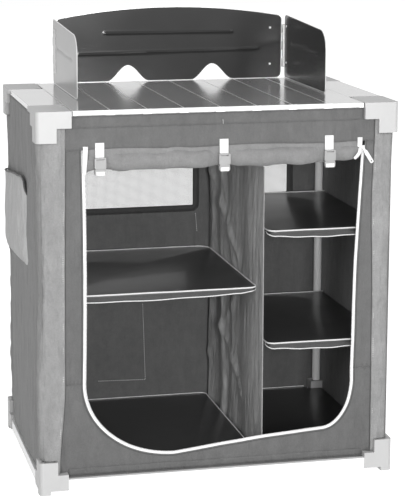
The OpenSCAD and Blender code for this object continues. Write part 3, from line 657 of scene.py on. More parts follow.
def cloth(name, colour, contrast=0.20, roughness=0.78, pitch=0.0010, sheen=0.12, creases=0.55):
    """Woven cloth with slub, uneven dye, a soft sheen and upright creases, bumped and with painted shade in
    their colour.
    """
    material, tree, shader, place = new_material(name)
    threads = use_group(tree, weave_group, place, Pitch=pitch, Contrast=0.22)
    dye = use_group(tree, blotch_group, place, Size=0.10, Contrast=contrast)
    wear = use_group(tree, blotch_group, place, Size=0.016, Contrast=contrast * 1.1)
    slub = use_group(tree, blotch_group, place, Size=0.0035, Contrast=0.34)
    upright = tree.nodes.new("ShaderNodeMapping")
    upright.inputs["Scale"].default_value = (1, 1, 0.32)
    tree.links.new(place, upright.inputs["Vector"])
    # The crease noise bumps the cloth and also darkens its colour along the creases: painted shade.
    crease_relief_and_painted_shade = use_group(tree, blotch_group, upright.outputs[0], Size=0.024, Contrast=0.45 * creases)
    tones = (threads, dye, wear, slub, crease_relief_and_painted_shade)
    tinted(tree, shader, colour, *(each.outputs["Tone"] for each in tones))
    relief = tree.nodes.new("ShaderNodeBump")
    relief.inputs["Strength"].default_value = creases
    relief.inputs["Distance"].default_value = 0.012
    tree.links.new(crease_relief_and_painted_shade.outputs["Height"], relief.inputs["Height"])
    bumped(tree, shader, threads.outputs["Height"], strength=0.35, distance=0.0003)
    tree.links.new(relief.outputs[0], shader.inputs["Normal"].links[0].from_node.inputs["Normal"])
    shader.inputs["Roughness"].default_value = roughness
    shader.inputs["Sheen Weight"].default_value = sheen
    return material


def thread(name, colour):
    """Sewing thread, cord and piping: finer and smoother than the cloth."""
    return cloth(name, colour, contrast=0.05, roughness=0.6, pitch=0.0006, sheen=0.1, creases=0.1)


wall_low, wall_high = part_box("cover_front")
left_low, left_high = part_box("cover_left")
right_low, right_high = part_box("cover_right")
rear_low, rear_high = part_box("cover_rear")
rail_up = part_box("bottom_rail_front")[1][2]
front_y = (wall_low[1] + wall_high[1]) / 2
rear_y = (rear_low[1] + rear_high[1]) / 2
left_x = (left_low[0] + left_high[0]) / 2
right_x = (right_low[0] + right_high[0]) / 2
half_w, half_d, wall_top = 0.400, 0.260, 0.8235
cloth_t = 0.0008


def wander(p, size, seed):
    """Smooth noise from -1 to 1 at a place, for folds and slack."""
    return noise.noise(Vector(p) / size + Vector((seed, seed * 0.7, seed * 1.3)))


def grid_wall(bm, u0, u1, v0, v1, step, to_place):
    """A grid from u0, v0 to u1, v1, with each point taken to its place."""
    nu, nv = max(2, round((u1 - u0) / step)), max(2, round((v1 - v0) / step))
    made = bmesh.ops.create_grid(bm, x_segments=nu, y_segments=nv, size=0.5)
    for v in made["verts"]:
        v.co = to_place(u0 + (v.co.x + 0.5) * (u1 - u0), v0 + (v.co.y + 0.5) * (v1 - v0))


def cut_away(bm, low, high):
    """Cuts a box out of a sheet along clean lines. None leaves a side open."""
    for axis in range(3):
        for limit, sign in ((low[axis], 1), (high[axis], -1)):
            if limit is None:
                continue
            spot, normal = Vector((0, 0, 0)), Vector((0, 0, 0))
            spot[axis], normal[axis] = limit, sign
            geometry = bm.verts[:] + bm.edges[:] + bm.faces[:]
            bmesh.ops.bisect_plane(bm, geom=geometry, dist=0.00002, plane_co=spot, plane_no=normal)

    def within(p):
        past_low = all(low[a] is None or p[a] > low[a] for a in range(3))
        return past_low and all(high[a] is None or p[a] < high[a] for a in range(3))

    inside = [f for f in bm.faces if within(f.calc_center_median())]
    bmesh.ops.delete(bm, geom=inside, context="FACES")


def cloth_piece(
    name,
    bm,
    material,
    slot,
    replaced=(),
    thickness=cloth_t,
    body="frame",
):
    """A sheet of cloth given its thickness, on its body, standing for CAD nodes if named."""
    bmesh.ops.recalc_face_normals(bm, faces=bm.faces)
    obj = piece(name, bm, material, body, slot, *replaced)
    thick = obj.modifiers.new("thickness", "SOLIDIFY")
    thick.thickness = thickness
    thick.offset = 0


def stitches(bm, points, pitch=0.0045, width=0.0007, lift=(0, -0.0006, 0)):
    """A row of thread stitches along points, each a small long bead."""
    walked, step = 0.0, 0.0
    for p, q in zip(points, points[1:]):
        length = (q - p).length
        heading = (q - p).normalized()
        turn = heading.to_track_quat("Z", "Y").to_matrix().to_4x4()
        while step < walked + length:
            spot = p + heading * (step - walked) + Vector(lift)
            stretch = Matrix.Diagonal((width, width, pitch * 0.36, 1))
            bead = Matrix.Translation(spot) @ turn @ stretch
            bmesh.ops.create_icosphere(bm, subdivisions=1, radius=1, matrix=bead)
            step += pitch
        walked += length


# Where the corner strips' inner seams run (height and x, in metres), and how far
# the strips puff out at each height (in millimetres). The front panel ends under
# these seams.
strip_inner = {
    -1: ((0.770, -0.3356), (0.430, -0.3390), (0.250, -0.3400), (0.040, -0.3530)),
    1: ((0.770, 0.3490), (0.620, 0.3450), (0.400, 0.3500), (0.040, 0.3520)),
}
puff_left = (
    (0.770, 7.5),
    (0.730, 5),
    (0.690, 1.5),
    (0.630, 3),
    (0.560, 1),
    (0.430, -1),
    (0.380, 2),
    (0.330, 6),
    (0.230, 8.5),
    (0.120, 6.5),
    (0.070, 2),
)
puff_right = (
    (0.770, 4.5),
    (0.690, 2.5),
    (0.560, 1.5),
    (0.480, -0.3),
    (0.330, 0.5),
    (0.200, 1.5),
    (0.070, 1),
)


def along_height(table, z):
    """A value read off a short table of heights and values, eased between."""
    for (z1, a), (z0, b) in zip(table, table[1:]):
        if z >= z0:
            t = max(0.0, min(1.0, (z - z0) / (z1 - z0)))
            t = t * t * (3 - 2 * t)
            return b + (a - b) * t
    return table[-1][1]


# Front panel, with its round-cornered door opening. The lower edge is tucked
# behind the rail, so the panel leans in a little towards the bottom. It is cut
# in three here: the yoke under the opening and a stile up each side.
front_cloth = cloth("front_cloth", grey(91), contrast=0.24, creases=0.8)
opening_left, opening_right = -0.299, 0.308
opening_top, opening_low = 0.757, 0.070
opening_flare, opening_tilt = 0.017, 0.033
left_round_x, left_round_z = 0.200, 0.170
right_round_x, right_round_z = 0.072, 0.109
bow, right_bow = 0.003, 0.004
front_bottom = rail_up + 0.004


def opening_points(grow=0.0, top=opening_top):
    """The door opening's edge in x and z, from its left top round to its right."""
    left_x0, left_z0 = opening_left + left_round_x, opening_low + left_round_z
    left = arc_points(left_x0, left_z0, left_round_x + grow, left_round_z + grow, 180, 270, 22)
    right_x0, right_z0 = opening_right - right_round_x, opening_low + opening_tilt + right_round_z
    right = arc_points(right_x0, right_z0, right_round_x + grow, right_round_z + grow, 270, 360, 16)
    run = []
    for k in range(30):
        t = k / 30
        run.append((opening_left - grow + bow * sin(pi * t), top + (left_z0 - top) * t))
    base = []
    for k in range(1, 22):
        t = k / 22
        a, b = left[-1], right[0]
        base.append((a[0] + (b[0] - a[0]) * t, a[1] + (b[1] - a[1]) * t + bow * sin(pi * t)))
    climb = []
    for k in range(1, 30):
        t = k / 29
        x = opening_right + grow + opening_flare * t**1.2 - right_bow * sin(pi * t)
        climb.append((x, right_z0 + (top - right_z0) * t))
    return run + left + base + right + climb


lean_from, lean_height, lean_in = 0.30, 0.26, 0.010
foot_left, foot_right = -0.356, 0.354


def front_place(x, z):
    """The front cloth's place at x, z, with its lean, slack and small folds."""
    drop = max(0.0, min(1.0, (lean_from - z) / lean_height))
    hem = max(0.0, min(1.0, (x - foot_left) / 0.02, (foot_right - x) / 0.02))
    y = front_y + lean_in * drop * hem
    y += 0.0026 * wander((x, 0, z * 0.5), 0.07, 3) * hem
    y += 0.0014 * wander((x * 0.4, 0, z), 0.03, 8) * hem
    return Vector((x, max(y, wall_low[1] + 0.0002), z))


def bridge_panel(bm, outer, inner, cuts):
    """Joins an outer and an inner line of points with cloth."""
    lines = []
    for points in (outer, inner):
        verts = [bm.verts.new((x, 0, z)) for x, z in points]
        lines.append([bm.edges.new(pair) for pair in zip(verts, verts[1:])])
    made = bmesh.ops.bridge_loops(bm, edges=lines[0] + lines[1])
    across = [e for f in made["faces"] for e in f.edges if e not in lines[0] and e not in lines[1]]
    bmesh.ops.subdivide_edges(bm, edges=list(set(across)), cuts=cuts, use_grid_fill=True)


panel_left, panel_right = -0.338, 0.349
left_share, foot_share, right_share = 0.30, 0.42, 0.28
inner_line = opening_points(0.0024)
outer_line = []
for k in range(len(inner_line)):
    t = k / (len(inner_line) - 1)
    if t < left_share:
        height = opening_top + (front_bottom - opening_top) * t / left_share
        spot = (along_height(strip_inner[-1], height) - 0.003, height)
    elif t < 1 - right_share:
        spot = (foot_left + (foot_right - foot_left) * (t - left_share) / foot_share, front_bottom)
    else:
        height = front_bottom + (opening_top - front_bottom) * (t - 1 + right_share) / right_share
        spot = (along_height(strip_inner[1], height) + 0.002, height)
    outer_line.append(spot)
bm = bmesh.new()
bridge_panel(bm, outer_line, inner_line, 9)
for v in bm.verts:
    v.co = front_place(v.co.x, v.co.z)
corner_arm_x, corner_arm_top, past_panel = 0.3355, 0.0445, 0.42
for side in (-1, 1):
    limits = [side * corner_arm_x, side * past_panel]
    cut_away(bm, (min(limits), None, None), (max(limits), None, corner_arm_top))
stile_foot = 0.24
yoke_ring = [(x, min(z, stile_foot)) for x, z in outer_line + inner_line[::-1]]
yoke_pairs = zip(yoke_ring, yoke_ring[1:] + yoke_ring[:1])
yoke_area = abs(sum(a[0] * b[1] - b[0] * a[1] for a, b in yoke_pairs)) / 2
no_limit, at_foot, at_middle = (None, None, None), (None, None, stile_foot), (0, None, None)
front_parts = (
    ("front_yoke", (0.687, 0.204), ((at_foot, no_limit),), ("cover_front",), yoke_area),
    ("front_left_stile", (0.041, 0.517), ((no_limit, at_foot), (at_middle, no_limit)), (), None),
    ("front_right_stile", (0.038, 0.517), ((no_limit, at_foot), (no_limit, at_middle)), (), None),
)
for name, flat, cuts, replaced, cut_area in front_parts:
    part = bm.copy()
    for low, high in cuts:
        cut_away(part, low, high)
    for e in part.edges:
        if e.is_boundary and all(abs(v.co.z - stile_foot) < 0.0002 for v in e.verts):
            e.smooth = False
    cloth_piece(name, part, front_cloth, "mid_fabric", replaced)
bm.free()

# Header of the front, above the opening: a plain strip of the front's cloth, sewn
# to the band above it, where a short end of light thread stands out. The straps
# and the door hang from it.
band_low, band_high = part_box("cover_band")
thread_white = thread("thread_white", grey(212))
bm = bmesh.new()


def header_place(x, z):
    """The header's place at x, z: loose below the band, with a sagging edge."""
    loose = max(0, min(1, (band_low[2] - 0.004 - z) / 0.02))
    y = front_y + 0.0003 + (0.0010 * wander((x, 0, z * 2), 0.05, 5) - 0.0001) * loose
    sag = 0.0016 * sin(x * 21) * max(0, 1 - (z - opening_top + 0.004) / 0.02)
    return Vector((x, y, z + sag))


header_left, header_right = panel_left - 0.014, panel_right + 0.004
header_foot, header_top = opening_top - 0.006, band_low[2] + 0.012
grid_wall(bm, header_left, header_right, header_foot, header_top, 0.006, header_place)
cloth_piece("front_header", bm, front_cloth, "mid_fabric")
bm = bmesh.new()
band_face = band_low[1] - 0.0002
mark = [Vector((0.0060, band_face, 0.8075)), Vector((0.0068, band_face, 0.7985))]
stitches(bm, mark, pitch=0.002, width=0.0010)
piece("band_thread_end", bm, thread_white, "frame", "webbing")

# Binding along the front's bottom edge: the darker cloth of the top band, folded
# over the raw edge and sewn through.
band_cloth = cloth("band_cloth", grey(90), contrast=0.26, creases=0.8)
bm = bmesh.new()


def hem_place(x, z):
    """The binding's place at x, z, just in front of the cloth."""
    spot = front_place(x, z)
    return spot + Vector((0, -0.0012 + 0.0004 * wander((x, 0, z), 0.02, 9), 0))


grid_wall(bm, -0.334, 0.334, rail_up + 0.002, rail_up + 0.018, 0.006, hem_place)
cloth_piece("front_hem", bm, band_cloth, "dark_fabric")

# Dark band round the top, outside the walls, between the moulded corners. It
# hides the top rails and is sewn to the sleeve that holds them.
bm = bmesh.new()
arm_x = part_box("top_corner_front_right")[0][0] + 0.001
arm_y = 0.1845
band_in = 0.0006
for half, place in (
    (arm_x, lambda u, z: Vector((u, band_low[1] + band_in, z))),
    (arm_x, lambda u, z: Vector((u, band_high[1] - band_in, z))),
    (arm_y, lambda u, z: Vector((band_low[0] + band_in, u, z))),
    (arm_y, lambda u, z: Vector((band_high[0] - band_in, u, z))),
):

    def wavy(u, z, place=place):
        """The band's place at u along its side, drawn in and wavy at its foot."""
        spot = place(u, z)
        low = max(0, 1 - (z - band_low[2]) / 0.012)
        inward = Vector((-spot.x if place(0, 0).x else 0, -spot.y if place(0, 0).y else 0, 0)).normalized()
        spot += inward * 0.0005 * (1 + wander((spot.x, spot.y, 0), 0.06, 4))
        spot.z += 0.0012 * low * wander((spot.x, spot.y, 0), 0.05, 6)
        return spot

    grid_wall(bm, -half, half, band_low[2], band_high[2], 0.006, wavy)
cloth_piece(
    "top_band",
    bm,
    band_cloth,
    "dark_fabric",
    ("cover_band",),
    thickness=0.0007,
)

# Light strips over the four corners. They wrap round the legs and are sewn
# down along both edges, so the loose cloth between puffs out here and there.
strip_cloth = cloth("strip_cloth", grey(134), contrast=0.26, creases=1.0)
strip_foot, strip_height = 0.0448, 0.7544


def strip(name, side, back, puffs):
    """One corner strip, from its seam on the front or back round to the side."""
    wall_x = right_x if side > 0 else left_x
    wall_y = rear_y if back > 0 else front_y
    r = 0.012
    reach = 0.030
    off_wall = 0.0008

    def place(s, z):
        """The strip's place at a share of its width and a height."""
        seam = along_height(strip_inner[side], z) if back < 0 else side * 0.338
        face = abs(wall_x - seam) - r
        bend = r * pi / 2
        total = face + bend + reach
        d = s * total
        puff = along_height(puffs, z) / 1000
        fold = abs(0.0034 * wander((side * 5 + s * 0.06, back * 3, z), 0.040, 2))
        fold += abs(0.0018 * wander((s * 0.1, side, z), 0.018, 7))
        fold += abs(0.0042 * wander((side * 3 + s * 0.10 - z * 0.8, back, z * 0.35), 0.030, 61))
        if d < face:
            t = d / face
            out = off_wall + fold * sin(pi * t) + 0.3 * max(puff, 0) * t**3
            spot = Vector((seam + side * d, wall_y + back * out, z))
        elif d < face + bend:
            a = (d - face) / r
            grown = r + off_wall + puff * (0.3 + 0.7 * sin(a) ** 2)
            deep = r + off_wall + 0.3 * max(puff, 0)
            centre = Vector((wall_x - side * r, wall_y - back * r, z))
            spot = centre + Vector((side * grown * sin(a), back * deep * cos(a), 0))
        else:
            t = (d - face - bend) / reach
            out = off_wall + puff * max(0.0, 1 - t) ** 0.7 + fold * sin(pi * t)
            spot = Vector((wall_x + side * out, wall_y - back * (r + reach * t), z))
        return spot

    bm = bmesh.new()
    made = bmesh.ops.create_grid(bm, x_segments=30, y_segments=124, size=0.5)
    for v in made["verts"]:
        v.co = place(v.co.x + 0.5, strip_foot + (v.co.y + 0.5) * strip_height)
    upper_sleeve = (side * 0.3548, 0.7686, None)
    lower_sleeve = (side * 0.3588, None, 0.0738)
    for edge, low, high in (upper_sleeve, lower_sleeve):
        if side > 0:
            cut_away(bm, (edge, None, low), (None, None, high))
        else:
            cut_away(bm, (None, None, low), (edge, None, high))
    cloth_piece(name, bm, strip_cloth, "light_fabric", thickness=0.0007)


strip("corner_strip_front_left", -1, -1, puff_left)
strip("corner_strip_front_right", 1, -1, puff_right)
strip("corner_strip_rear_left", -1, 1, puff_right)
strip("corner_strip_rear_right", 1, 1, puff_right)
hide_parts("corner_strips")

# Seams beside the front strips. The strip's edge is turned under and sewn down with a row of light
# stitches; the dark line along it is painted shadow, a thin dark cord.
# Dark thread for real stitches; the same dark colour also makes the thin cords that are painted shadow beside
# the strips and the zip.
thread_dark_and_painted_shadow = thread("thread_dark_and_painted_shadow", grey(60))
seam_foot, seam_height = 0.046, 0.750
stitch_foot, stitch_height = 0.080, 0.685
bm = bmesh.new()
for side in (-1, 1):
    line = []
    for k in range(121):
        z = seam_foot + seam_height * k / 120
        x = along_height(strip_inner[side], z) - side * 0.0012
        spot = front_place(x, z)
        line.append(spot + Vector((0, -0.0004, 0)))
    tube(bm, line, radius=0.0009, sides=6)
piece("strip_edge_painted_shadows", bm, thread_dark_and_painted_shadow, "frame", "dark_fabric")
bm = bmesh.new()
for side in (-1, 1):
    line = []
    for k in range(121):
        z = stitch_foot + stitch_height * k / 120
        x = along_height(strip_inner[side], z) + side * 0.004
        line.append(Vector((x, front_y - 0.0006, z)))
    stitches(bm, line)
piece("strip_stitches", bm, thread_white, "frame", "webbing")


def wall_notches(bm, half, axis, arm, low_arm):
    """Cuts a side or back wall clear of the moulded corners."""
    g = 0.0006
    upper_arm, upper_sleeve = (arm, 0.800 - g, None), (0.045, 0.769 - g, None)
    lower_arm, lower_sleeve = (low_arm, None, 0.044 + g), (0.041, None, 0.073 + g)
    for inset, low, high in (upper_arm, upper_sleeve, lower_arm, lower_sleeve):
        for side in (-1, 1):
            start, end = [None] * 3, [None] * 3
            start[2], end[2] = low, high
            if side > 0:
                start[axis] = half - inset - g
            else:
                end[axis] = inset + g - half
            cut_away(bm, start, end)


# Side walls: one flat piece of cloth each, slack enough to ripple, tucked in
# behind the lower rail.
side_cloth = cloth("side_cloth", grey(122))
for side, where, x in ((-1, "left", left_x), (1, "right", right_x)):
    bm = bmesh.new()

    def side_place(y, z, x=x, side=side):
        """The side wall's place at y, z, bellied out between the legs."""
        middle = max(0.0, 1 - (abs(y) / 0.225) ** 4)
        out = 0.0032 * (0.8 + wander((0, y * 0.6, z), 0.16, 11 + side))
        out += 0.0024 * (0.8 + wander((0, y, z * 0.4), 0.06, 2))
        out += 0.0014 * (0.8 + wander((0, y + z * 0.5, z * 0.3), 0.025, 6))
        return Vector((x + side * max(0, out) * middle, y, z))

    grid_wall(bm, left_low[1] + 0.0005, left_high[1] - 0.0005, front_bottom, wall_top, 0.009, side_place)
    wall_notches(bm, half_d, 1, 0.075, 0.064)
    hung_from, flat, node = ["top_rail_" + where], (0.496, 0.79), "cover_" + where
    cloth_piece(where + "_panel", bm, side_cloth, "mid_fabric", (node,))

# Back wall. One piece of cloth with two windows cut out, their edges bound in
# dark tape over a fine white net.
inner_cloth = cloth("inner_cloth", grey(84), contrast=0.36)
window_top = 0.736
windows = ((-0.300, 0.528, 0.062), (0.144, 0.551, 0.300))
bm = bmesh.new()


def rear_place(x, z):
    """The back wall's place at x, z, slack in its lower half."""
    middle = max(0.0, 1 - (abs(x) / 0.36) ** 4)
    low = max(0.0, min(1.0, (0.52 - z) / 0.2))
    out = (0.0040 * wander((x * 0.7, 0, z), 0.15, 21) + 0.0024 * wander((x, 0, z * 0.5), 0.05, 3)) * low
    return Vector((x, rear_y - abs(out) * middle, z))


grid_wall(bm, wall_low[0] + 0.001, wall_high[0] - 0.001, front_bottom, wall_top, 0.009, rear_place)
for x0, z0, x1 in windows:
    cut_away(bm, (x0, None, z0), (x1, None, window_top))
wall_notches(bm, half_w, 0, 0.077, 0.064)
cloth_piece(
    "rear_panel",
    bm,
    inner_cloth,
    "mid_fabric",
    ("cover_rear",),
)

binding_cloth = cloth("binding_cloth", grey(52), contrast=0.2)
bm = bmesh.new()
tape_in, tape_out = -0.002, 0.014
tape_y = rear_y - 0.0012
r = 0.005
for x0, z0, x1 in windows:
    loops = []
    for grow in (tape_in, tape_out):
        corners = (
            (x1 - r, window_top - r, 0),
            (x0 + r, window_top - r, 90),
            (x0 + r, z0 + r, 180),
            (x1 - r, z0 + r, 270),
        )
        ring = []
        for cx, cz, a in corners:
            ring += arc_points(cx, cz, r + grow, r + grow, a, a + 90, 6)
        verts = [bm.verts.new((x, tape_y, z)) for x, z in ring]
        loops.append([bm.edges.new((verts[k - 1], verts[k])) for k in range(len(verts))])
    bmesh.ops.bridge_loops(bm, edges=loops[0] + loops[1])
cloth_piece(
    "window_binding",
    bm,
    binding_cloth,
    "dark_fabric",
    thickness=0.0012,
)

net_white, tree, shader, place = new_material("net_white")
split = tree.nodes.new("ShaderNodeSeparateXYZ")
tree.links.new(place, split.inputs[0])
threads = []
for axis in ("X", "Z"):
    wave = calc(tree, "SINE", calc(tree, "MULTIPLY", split.outputs[axis], 2 * pi / 0.0027))
    threads.append(calc(tree, "GREATER_THAN", wave, 0.35))
mask = calc(tree, "MAXIMUM", *threads)
tree.links.new(mask, shader.inputs["Alpha"])
net_tone = use_group(tree, blotch_group, place, Size=0.08, Contrast=0.10)
tinted(tree, shader, grey(188), net_tone.outputs["Tone"])
shader.inputs["Roughness"].default_value = 0.7
bm = bmesh.new()
net_lap = 0.006


def net_place(x, z):
    """The net's place at x, z, held in its tape with a slight slack."""
    return Vector((x, rear_y - 0.0009 - 0.0002 * sin(x * 40), z))


for x0, z0, x1 in windows:
    grid_wall(bm, x0 - net_lap, x1 + net_lap, z0 - net_lap, window_top + net_lap, 0.02, net_place)
net = piece("window_netting", bm, net_white, "frame", "net", "window_nets")

# Seams on the back wall: light thread where an inner pocket is sewn on, and a
# loose thread end beside the dividing wall.
bm = bmesh.new()
seam_y = rear_y - 0.0050
rear_seams = (
    (-0.066, 0.288, -0.060, 0.100),
    (-0.176, 0.101, -0.058, 0.098),
    (0.066, 0.508, 0.070, 0.464),
)
for x0, z0, x1, z1 in rear_seams:
    stitches(bm, [Vector((x0, seam_y, z0)), Vector((x1, seam_y, z1))], pitch=0.0052, width=0.0009)
piece("rear_stitches", bm, thread_white, "frame", "webbing")

# Floor of the cloth tub. One sheet of the dark cloth, sewn to the four walls and
# lying on the lower rails, cut out round the corners and legs.
floor_low, floor_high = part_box("cover_floor")
floor_z = (floor_low[2] + floor_high[2]) / 2
bm = bmesh.new()
floor_box = (floor_low[0], floor_high[0], floor_low[1], floor_high[1])
grid_wall(bm, *floor_box, 0.012, lambda x, y: Vector((x, y, floor_z)))
corner_steps = ((0.0645, 0.0365), (0.0365, 0.0645), (0.0415, 0.0415))
for side in (-1, 1):
    for back in (-1, 1):
        for inset_x, inset_y in corner_steps:
            low, high = [None] * 3, [None] * 3
            (low if side > 0 else high)[0] = side * (half_w - inset_x)
            (low if back > 0 else high)[1] = back * (half_d - inset_y)
            cut_away(bm, low, high)
floor_flat, floor_node = (0.776, 0.496), ("cover_floor",)
cloth_piece("floor_sheet", bm, band_cloth, "dark_fabric", floor_node)

# Dividing wall. Two layers of cloth sewn to the back wall and the floor, which
# hang in soft upright folds and crease where the shelves pull on them.
divider_cloth = cloth("divider_cloth", grey(148), contrast=0.34, creases=0.9)
div_low, div_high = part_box("divider_wall")
div_x = (div_low[0] + div_high[0]) / 2
folds = (
    (0.160, 0.030, 0.0038),
    (0.112, 0.014, -0.0040),
    (0.070, 0.016, 0.0034),
    (-0.030, 0.034, 0.0034),
    (0.212, 0.018, -0.0046),
    (-0.130, 0.040, -0.0022),
)
creases = (
    ((0.235, 0.640), (-0.020, 0.455), 0.0055),
    ((0.150, 0.700), (0.020, 0.440), 0.0035),
    ((0.210, 0.330), (-0.060, 0.140), 0.0048),
    ((0.235, 0.160), (0.020, 0.340), 0.0035),
)
bm = bmesh.new()


def divider_place(y, z):
    """The dividing wall's place at y, z, with its folds and pulled creases."""
    x = 0.0
    for centre, width, deep in folds:
        drift = 0.012 * sin(z * 9 + centre * 30)
        x += 1.5 * deep * exp(-(((y - centre - drift) / width) ** 2))
    for a, b, deep in creases:
        d = near_line(Vector((y, z)), Vector(a), Vector(b))
        x -= deep * exp(-((d / 0.011) ** 2))
    x += 0.0030 * wander((0, y, z * 0.5), 0.08, 31) + 0.0015 * wander((0, y, z * 0.3), 0.022, 33)
    edge = max(0.0, min(1.0, (y - div_low[1]) / 0.03))
    return Vector((div_x + x * edge, y, z))


grid_wall(bm, div_low[1], div_high[1] - 0.0018, div_low[2], div_high[2], 0.006, divider_place)
cut_away(bm, (None, None, 0.698), (None, -0.211, None))
cloth_piece(
    "dividing_wall",
    bm,
    divider_cloth,
    "mid_fabric",
    ("divider_wall",),
    thickness=0.0014,
)

# Shelves. Black lacquered boards lie in cloth sleeves, whose edges are bound
# in white piping: one cord round the board's top, one along the band's foot.
board_black, tree, shader, place = new_material("board_black")
grain = use_group(tree, blotch_group, place, Size=0.0016, Contrast=0.10)
cloud = use_group(tree, blotch_group, place, Size=0.09, Contrast=0.30)
tinted(tree, shader, grey(44), grain.outputs["Tone"], cloud.outputs["Tone"])
bumped(tree, shader, grain.outputs["Height"], strength=0.12, distance=0.0002)
worn = calc(tree, "MULTIPLY", cloud.outputs["Tone"], 0.36)
tree.links.new(worn, shader.inputs["Roughness"])
shader.inputs["Coat Weight"].default_value = 0.15
sleeve_cloth = cloth("sleeve_cloth", grey(62), contrast=0.16)


def rounded(points, size, bend=6):
    """A line in a plane with each inner corner rounded to its own radius."""
    line = [points[0]]
    for k in range(1, len(points) - 1):
        corner = Vector(points[k])
        a, b = Vector(points[k - 1]) - corner, Vector(points[k + 1]) - corner
        r = size[k - 1]
        if r == 0:
            line.append(points[k])
            continue
        start, end = corner + a.normalized() * r, corner + b.normalized() * r
        for j in range(bend + 1):
            t = j / bend
            spot = start * (1 - t) ** 2 + corner * (2 * t * (1 - t)) + end * t**2
            line.append((spot.x, spot.y))
    line.append(points[-1])
    return line


def board(bm, outline, low, high):
    """A flat board from its outline, with softened edges."""
    face = outline_face(bm, [Vector((x, y, low)) for x, y in outline])
    made = bmesh.ops.extrude_face_region(bm, geom=[face])
    moved = [v for v in made["geom"] if isinstance(v, bmesh.types.BMVert)]
    bmesh.ops.translate(bm, verts=moved, vec=(0, 0, high - low))
    bmesh.ops.recalc_face_normals(bm, faces=bm.faces)
    level = [e for e in bm.edges if abs((e.verts[0].co - e.verts[1].co).z) < 1e-6]
    rim = [e for e in level if e.calc_face_angle(0) > 1]
    bmesh.ops.bevel(bm, geom=rim, offset=0.0012, segments=2, profile=0.5, affect="EDGES", material=-1)
    flat = [f for f in bm.faces if len(f.verts) > 4]
    bmesh.ops.triangulate(bm, faces=flat)


def bridge_rows(bm, rows):
    """A sheet of cloth from rows of points, each row joined to the last one."""
    previous = None
    for row in rows:
        verts = [bm.verts.new(p) for p in row]
        edges = [bm.edges.new(pair) for pair in zip(verts, verts[1:])]
        if previous:
            bmesh.ops.bridge_loops(bm, edges=previous + edges)
        previous = edges


def run_length(points):
    """The length of a line of points."""
    return sum((b - a).length for a, b in zip(points, points[1:]))


def evened(line, step):
    """The same line of points in a plane, at even steps."""
    points = [Vector(p) for p in line]
    total = run_length(points)
    count = max(2, round(total / step))
    found, walked, k = [], 0.0, 0
    for j in range(count + 1):
        want = total * j / count
        while k < len(points) - 2 and walked + (points[k + 1] - points[k]).length < want:
            walked += (points[k + 1] - points[k]).length
            k += 1
        span = (points[k + 1] - points[k]).length
        found.append(points[k].lerp(points[k + 1], (want - walked) / span if span else 0))
    return found


shelf_names = ("shelf_left", "shelf_right_upper", "shelf_right_lower")
for seed, name in enumerate(shelf_names):
    low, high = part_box(name)
    side = 1 if name == "shelf_left" else -1
    wall_end, free = (low[0], high[0] - 0.0075) if side > 0 else (high[0], low[0] + 0.0075)
    front, back, top = low[1] + 0.0030, high[1], high[2]
    leg_x, leg_y = wall_end + side * 0.0245, front + 0.0085
    outline = rounded(
        [(leg_x, leg_y), (leg_x, front), (free, front), (free, back), (wall_end, back)],
        (0.004, 0.020, 0.036),
        9,
    )
    bm = bmesh.new()
    sheet_outline = [(wall_end, leg_y)] + outline
    board(bm, sheet_outline if side > 0 else sheet_outline[::-1], top - 0.0080, top - 0.0004)
    piece(name + "_board", bm, board_black, "frame", "board", name)

    # The upper cord, round the front, the free side and the back.
    run = evened(outline[1:], 0.006)
    bm = bmesh.new()
    line = [Vector((p.x, p.y, top - 0.0004 + 0.0007 * wander((p.x, p.y, seed), 0.06, 5))) for p in run]
    tube(bm, line, radius=0.0017, sides=8)
    lower, span = [], sum(1 for p in run if p.y < front + 0.022)
    for k, p in enumerate(run[:span]):
        t = k / (span - 1)
        drop = 0.0128 + 0.0048 * sin(pi * min(1, t * 1.15)) - 0.0085 * max(0, t - 0.90) / 0.10
        inward = Vector((0, 0.0030 * sin(pi * t) ** 0.5, 0))
        lower.append(Vector((p.x, p.y, top - drop + 0.0006 * sin(t * 23 + seed))) + inward)
    tube(bm, lower, radius=0.0013, sides=8)
    piece(name + "_piping", bm, thread_white, "frame", "light_fabric")

    # Cloth band between the two cords, hanging from the board's edge.
    bm = bmesh.new()
    rows = []
    for a, b in zip(line, lower):
        rows.append([a + (b - a) * k / 4 + Vector((0, 0.0009 * sin(pi * k / 4), 0)) for k in range(5)])
    bridge_rows(bm, rows)
    flat, hung_from = (run_length(line[:span]), 0.0165), [name + "_board"]
    cloth_piece(name + "_band", bm, sleeve_cloth, "mid_fabric", thickness=0.0009)

# Floor boards, one on each side of the dividing wall, of the same lacquered
# board. They are cut out round the legs, and their edges are in piping.
low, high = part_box("floor_boards")
board_front, board_rear, floor_top = low[1], high[1], high[2]
gap_x, leg_in, leg_front, leg_rear = 0.012, 0.040, 0.030, 0.020
bm, cords = bmesh.new(), bmesh.new()
for side, outer, inner in ((-1, low[0], div_x - gap_x), (1, high[0], div_x + gap_x)):
    at_leg = outer - side * leg_in
    corners = [
        (at_leg, board_front),
        (inner, board_front),
        (inner, board_rear),
        (at_leg, board_rear),
        (at_leg, board_rear - leg_rear),
        (outer, board_rear - leg_rear),
        (outer, board_front + leg_front),
        (at_leg, board_front + leg_front),
        (at_leg, board_front),
    ]
    bend = 6
    outline = rounded(corners, (0.014, 0.014, 0, 0, 0, 0, 0), bend)[:-1]
    board(bm, outline, floor_top - 0.010, floor_top - 0.0004)
    two_round_corners = 2 * (bend + 1)
    near = evened(outline[: two_round_corners + 2], 0.008)
    tube(cords, [Vector((p.x, p.y, floor_top - 0.0003)) for p in near], radius=0.0014, sides=8)
piece("floor_board_tops", bm, board_black, "frame", "board", "floor_boards")
piece("floor_piping", cords, thread_white, "frame", "light_fabric")

